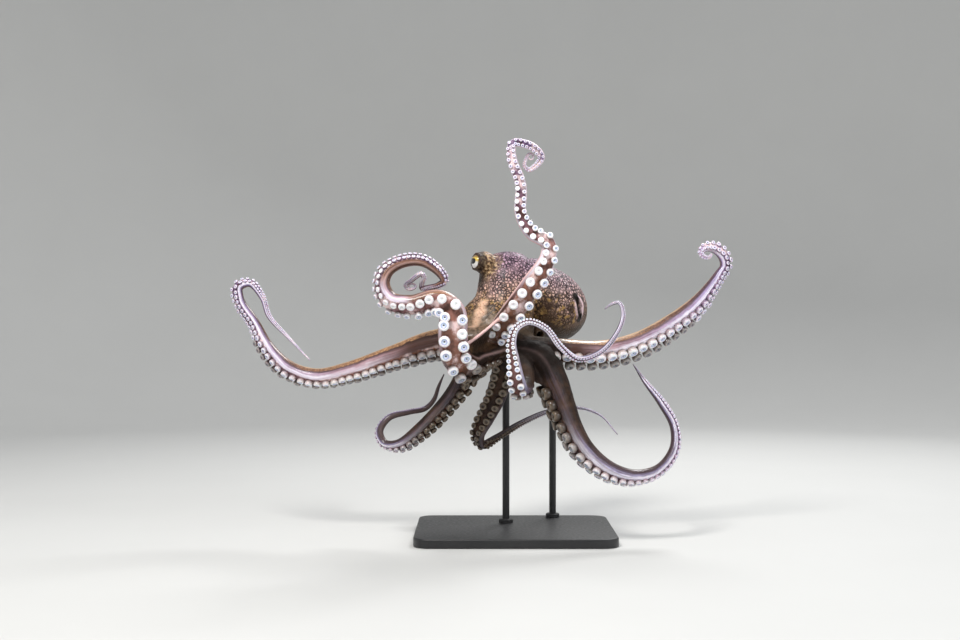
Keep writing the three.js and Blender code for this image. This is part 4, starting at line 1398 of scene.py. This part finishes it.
def eye_material():
    material, tree, shader = new_material("eye", Roughness=0.12, Coat_Weight=1.0, Coat_Roughness=0.03)
    where = place_of(tree)
    gaze, level, rise = (mark(tree, name) for name in ("gaze", "level", "rise"))
    height = sums(tree, "ADD", rise, between(tree, grain(tree, where, 700.0), 0.3, 0.7, -0.05, 0.05))
    iris = ramp(tree, between(tree, height, -0.75, 0.75),
                [(0.0, paint(236, 238, 240)), (0.38, paint(216, 214, 206)), (0.56, paint(206, 178, 96)),
                 (0.8, paint(226, 196, 92)), (1.0, paint(120, 88, 40))])
    streaks = grain(tree, where, 1600.0, 4.0)
    iris = mixed(tree, between(tree, streaks, 0.5, 0.75, 0.0, 0.4), iris, paint(112, 84, 46))
    rim = between(tree, gaze, IRIS, IRIS - 0.1)
    ball = mixed(tree, rim, iris, paint(44, 34, 30))
    wide, tall = PUPIL["wide"] + PUPIL_EDGE, PUPIL["tall"] + PUPIL_EDGE
    wide = sums(tree, "POWER", sums(tree, "ABSOLUTE", sums(tree, "DIVIDE", level, wide)), 4.0)
    tall = sums(tree, "POWER", sums(tree, "ABSOLUTE", sums(tree, "DIVIDE", rise, tall)), 2.0)
    slit = between(tree, sums(tree, "ADD", wide, tall), 1.15, 0.85)
    slit = product(tree, slit, between(tree, gaze, 0.0, 0.1))
    feed(tree, shader.inputs["Base Color"], mixed(tree, slit, ball, paint(8, 7, 8)))
    return material


EYE_FINISH = eye_material()
for name, eye in EYES.items():
    piece = finish_piece(name + "_ball", eye_mesh(eye), EYE_FINISH)
    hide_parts(name)
    print(f"{piece.name}: {len(piece.data.polygons)} faces")

# %% [markdown]
# ## The stand
# The stand stays quiet: a black board and two rods. Its board has no part in the animal's shape, so it
# keeps plain round corners, with an edge broken just enough to catch the light.

# %% Stand
def stand_material():
    material, tree, shader = new_material("satin black", Roughness=0.45, Metallic=0.0,
                                          Coat_Weight=0.15, Coat_Roughness=0.3)
    where = place_of(tree)
    dust = between(tree, grain(tree, where, 30.0, 5.0), 0.4, 0.75, 0.0, 0.4)
    feed(tree, shader.inputs["Base Color"], mixed(tree, dust, paint(26, 26, 28), paint(44, 43, 44)))
    feed(tree, shader.inputs["Roughness"], between(tree, grain(tree, where, 220.0), 0.3, 0.7, 0.38, 0.52))
    bump = node(tree, "Bump", Strength=0.15, Distance=0.0003, Height=grain(tree, where, 2500.0))
    feed(tree, shader.inputs["Normal"], bump.outputs["Normal"])
    return material


def stand_board(low, high, corner=0.024, edge=0.002):
    """A board with round corners and a broken edge."""
    bm = bmesh.new()
    bmesh.ops.create_cube(bm, size=1)
    size, middle = high - low, (high + low) / 2
    bmesh.ops.transform(bm, matrix=Matrix.Translation(middle) @ Matrix.Diagonal((*size, 1)), verts=bm.verts)
    upright = [e for e in bm.edges if abs(e.verts[0].co.z - e.verts[1].co.z) > 1e-4]
    bmesh.ops.bevel(bm, geom=upright, offset=corner, segments=14, affect="EDGES", profile=0.5, material=-1)
    rims = [e for e in bm.edges if abs(e.verts[0].co.z - e.verts[1].co.z) < 1e-5]
    bmesh.ops.bevel(bm, geom=rims, offset=edge, segments=4, affect="EDGES", profile=0.5, material=-1)
    return mesh_of(bm, "board")


def stand_rod(low, high, radius=0.0055, collar=0.011, collar_height=0.006, edge=0.0015):
    """A rod with a collar at its foot, spun from its profile."""
    middle = (low + high) / 2
    profile = [(0, 0), (collar, 0), (collar, collar_height - edge), (collar - edge, collar_height),
               (radius, collar_height), (radius, high.z - low.z), (0, high.z - low.z)]
    bm = spun(profile, 40, 1e-6)
    bmesh.ops.translate(bm, vec=(middle.x, middle.y, low.z), verts=bm.verts)
    return mesh_of(bm, "rod")


STAND = stand_material()
for name in sorted(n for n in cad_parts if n.startswith("stand_")):
    low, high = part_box(name)
    mesh = stand_board(low, high) if name == "stand_base" else stand_rod(low, high)
    mesh.shade_smooth()
    mesh.set_sharp_from_angle(angle=math.radians(40))
    mesh.materials.append(STAND)
    piece = add_object(name.removeprefix("stand_") + "_of_stand", mesh)
    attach(piece, "root")
    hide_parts(name)
    print(f"{piece.name}: {len(mesh.polygons)} faces")

# %% [markdown]
# ## Floor and light
# A pale bowl stands in for the sweep of paper in a studio, and looks the same from every side. A
# broad light from the upper left models the body, a weaker one fills from the right, and one from
# behind draws a bright edge on the wet skin.

# %% Floor and light
def sweep(radius=3.4, fillet=1.2, wall=3.4):
    """A round floor that curves up into a wall, seen from inside."""
    profile = [(0, 0), (radius - fillet, 0)]
    for i in range(1, 13):
        angle = math.pi / 2 * i / 12
        profile.append((radius - fillet + fillet * math.sin(angle), fillet * (1 - math.cos(angle))))
    profile.append((radius, wall))
    bm = spun(profile, 96, 1e-5)
    bmesh.ops.reverse_faces(bm, faces=bm.faces)
    return mesh_of(bm, "sweep")


def paper_material():
    material, tree, shader = new_material("paper", Roughness=0.9)
    tone = mixed(tree, grain(tree, place_of(tree), 3.0), paint(198, 198, 196), paint(203, 203, 201))
    feed(tree, shader.inputs["Base Color"], tone)
    return material


floor_mesh = sweep()
floor_mesh.shade_smooth()
floor_mesh.materials.append(paper_material())
floor = add_object("floor", floor_mesh)


def soft_light(name, place, size, power, tint=(1, 1, 1)):
    """A round lamp that looks at the middle of the animal."""
    lamp = bpy.data.lights.new(name, "AREA")
    lamp.shape = "DISK"
    lamp.size = size
    lamp.energy = power
    lamp.color = tint
    light = add_object(name, lamp)
    light.location = place
    aim = Vector((0, 0, EYE_LEVEL)) - light.location
    light.rotation_euler = aim.to_track_quat("-Z", "Y").to_euler()


soft_light("key", Vector((-0.7, -1.5, 2.2)), 0.8, 62, (1.0, 0.98, 0.95))
soft_light("fill", Vector((1.8, -1.3, 1.2)), 1.2, 15, (0.92, 0.96, 1.0))
soft_light("rim", Vector((0.7, 1.3, 1.9)), 0.8, 34)

world = bpy.data.worlds.new("studio")
world.use_nodes = True
sky = world.node_tree.nodes["Background"]
sky.inputs["Color"].default_value = (0.86, 0.91, 1.0, 1)
sky.inputs["Strength"].default_value = 0.4
bpy.context.scene.world = world
bpy.context.scene.view_settings.view_transform = "Standard"
print("lamps:", len(bpy.data.lights))
